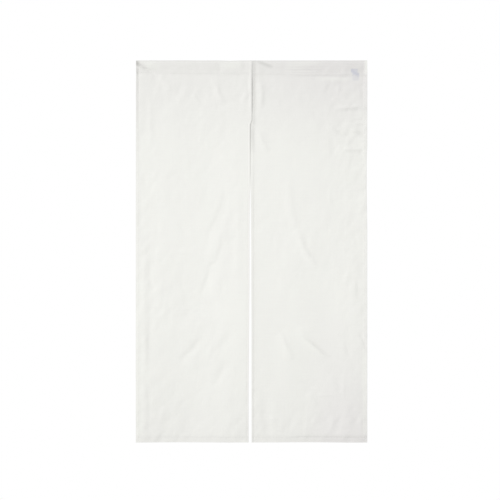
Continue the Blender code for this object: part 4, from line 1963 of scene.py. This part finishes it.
@dataclass(frozen=True)
class Studio:
    """The floor, the lights and the camera at the photograph's place."""

    frame_width: int = 500  # the photograph's width and height, in pixels
    pixel: float = 3.6655 * MM  # what a pixel covers at the curtain
    middle_column: float = 251.10  # the curtain's middle, in the photograph's pixels
    top_row: float = 59.92
    lens: float = 120.0
    sensor: float = 36.0
    floor_depth: float = 2.0
    floor_size: tuple[float, float] = (7.0, 4.4)
    ambient: float = 0.64
    far_strength: float = 1.23
    far_softness: float = 0.30  # the angle that the far window fills, in radians
    far_from: tuple[float, float, float] = (-0.78, -1.0, 0.42)
    near_power: float = 2.8
    near_size: tuple[float, float] = (0.8, 0.8)
    near_place: tuple[float, float, float] = (-0.21, -1.35, -0.61)

    def add(self, name: str, data: bpy.types.ID) -> bpy.types.Object:
        """Add an object to the scene.

        Args:
            name: Its name.
            data: Its mesh, light or camera.

        Returns:
            The new object.
        """
        made = bpy.data.objects.new(name, data)
        bpy.context.scene.collection.objects.link(made)
        return made

    def add_camera(self) -> None:
        """Stand the camera square to the curtain, where it fills the photograph's frame the same way."""
        data = bpy.data.cameras.new("camera")
        data.lens = self.lens
        data.sensor_width = self.sensor
        camera = self.add("camera", data)
        away = self.pixel * self.frame_width * self.lens / self.sensor
        centre = (self.frame_width - 1) / 2
        across = (centre - self.middle_column) * self.pixel
        depth = (centre - self.top_row) * self.pixel
        camera.location = (across, -away, -depth)
        camera.rotation_euler = (math.pi / 2, 0.0, 0.0)
        bpy.context.scene.camera = camera

    def add_floor(self) -> None:
        """Lay the floor under the curtain, out of the camera's view."""
        half_x, half_y = self.floor_size[0] / 2, self.floor_size[1] / 2
        corners = [(-half_x, -half_y), (half_x, -half_y), (half_x, half_y), (-half_x, half_y)]
        mesh = bpy.data.meshes.new("floor")
        mesh.from_pydata([(x, y, -self.floor_depth) for x, y in corners], [], [(0, 1, 2, 3)])
        mesh.materials.append(StudioFloor().make())
        self.add("floor", mesh)

    def add_lights(self) -> None:
        """Light the curtain from a wide window at the upper left, and from a softbox near its lower half."""
        far = bpy.data.lights.new("far_window", "SUN")
        far.energy = self.far_strength
        far.angle = self.far_softness
        window = self.add("far_window", far)
        window.location = self.far_from
        window.rotation_euler = (-Vector(self.far_from)).to_track_quat("-Z", "Y").to_euler()
        near = bpy.data.lights.new("softbox", "AREA")
        near.shape = "RECTANGLE"
        near.size, near.size_y = self.near_size
        near.energy = self.near_power
        softbox = self.add("softbox", near)
        softbox.location = self.near_place
        softbox.rotation_euler = (math.pi / 2, 0.0, 0.0)

    def add_world(self) -> None:
        """Surround the curtain with even white, which the camera sees as plain white."""
        world = bpy.data.worlds.new("white_room")
        world.use_nodes = True
        tree = world.node_tree
        shade = tree.nodes["Background"]
        seen = tree.nodes.new("ShaderNodeBackground")
        path = tree.nodes.new("ShaderNodeLightPath")
        choice = tree.nodes.new("ShaderNodeMixShader")
        for background, strength in ((shade, self.ambient), (seen, 1.0)):
            background.inputs["Color"].default_value = (1.0, 1.0, 1.0, 1.0)
            background.inputs["Strength"].default_value = strength
        tree.links.new(path.outputs["Is Camera Ray"], choice.inputs[0])
        tree.links.new(shade.outputs[0], choice.inputs[1])
        tree.links.new(seen.outputs[0], choice.inputs[2])
        tree.links.new(choice.outputs[0], tree.nodes["World Output"].inputs["Surface"])
        bpy.context.scene.world = world

    def build(self) -> None:
        """Set up the whole studio."""
        self.add_camera()
        self.add_floor()
        self.add_lights()
        self.add_world()
        bpy.context.scene.view_settings.view_transform = "Standard"
        bpy.context.scene.view_settings.look = "None"


def main() -> None:
    """Build the curtain and its studio."""
    logging.basicConfig(level=logging.INFO, format="%(name)s: %(message)s")
    LOG.info("the packed model has %d nodes", len(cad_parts))
    pattern = Pattern()
    drape = Drape.hang(pattern)
    painted_shades, care_label = PaintedShades(pattern), CareLabel(drape)
    Studio().build()
    cloth, thread = WovenCloth().make(), SewingThread().make()
    left_panel = ClothPanel(Side.LEFT, drape, painted_shades, care_label)
    right_panel = ClothPanel(Side.RIGHT, drape, painted_shades, care_label)
    left = left_panel.build("left_cloth", cloth, ["left_panel", "left_heading"])
    right = right_panel.build("right_cloth", cloth, ["right_panel", "right_heading"])
    label = care_label.build(LabelTape().make())
    left_sewing, right_sewing = Stitching(left_panel), Stitching(right_panel)
    left_threads = left_sewing.sewn("left_stitching", left_sewing.panel_rows(), thread)
    seam_threads = left_sewing.sewn("seam_stitching", left_sewing.seam_rows(), thread)
    right_threads = right_sewing.sewn("right_stitching", right_sewing.panel_rows(), thread)
    label_threads = right_sewing.sewn("label_stitching", [care_label.top_row(right_sewing)], thread)


if __name__ == "__main__":
    main()
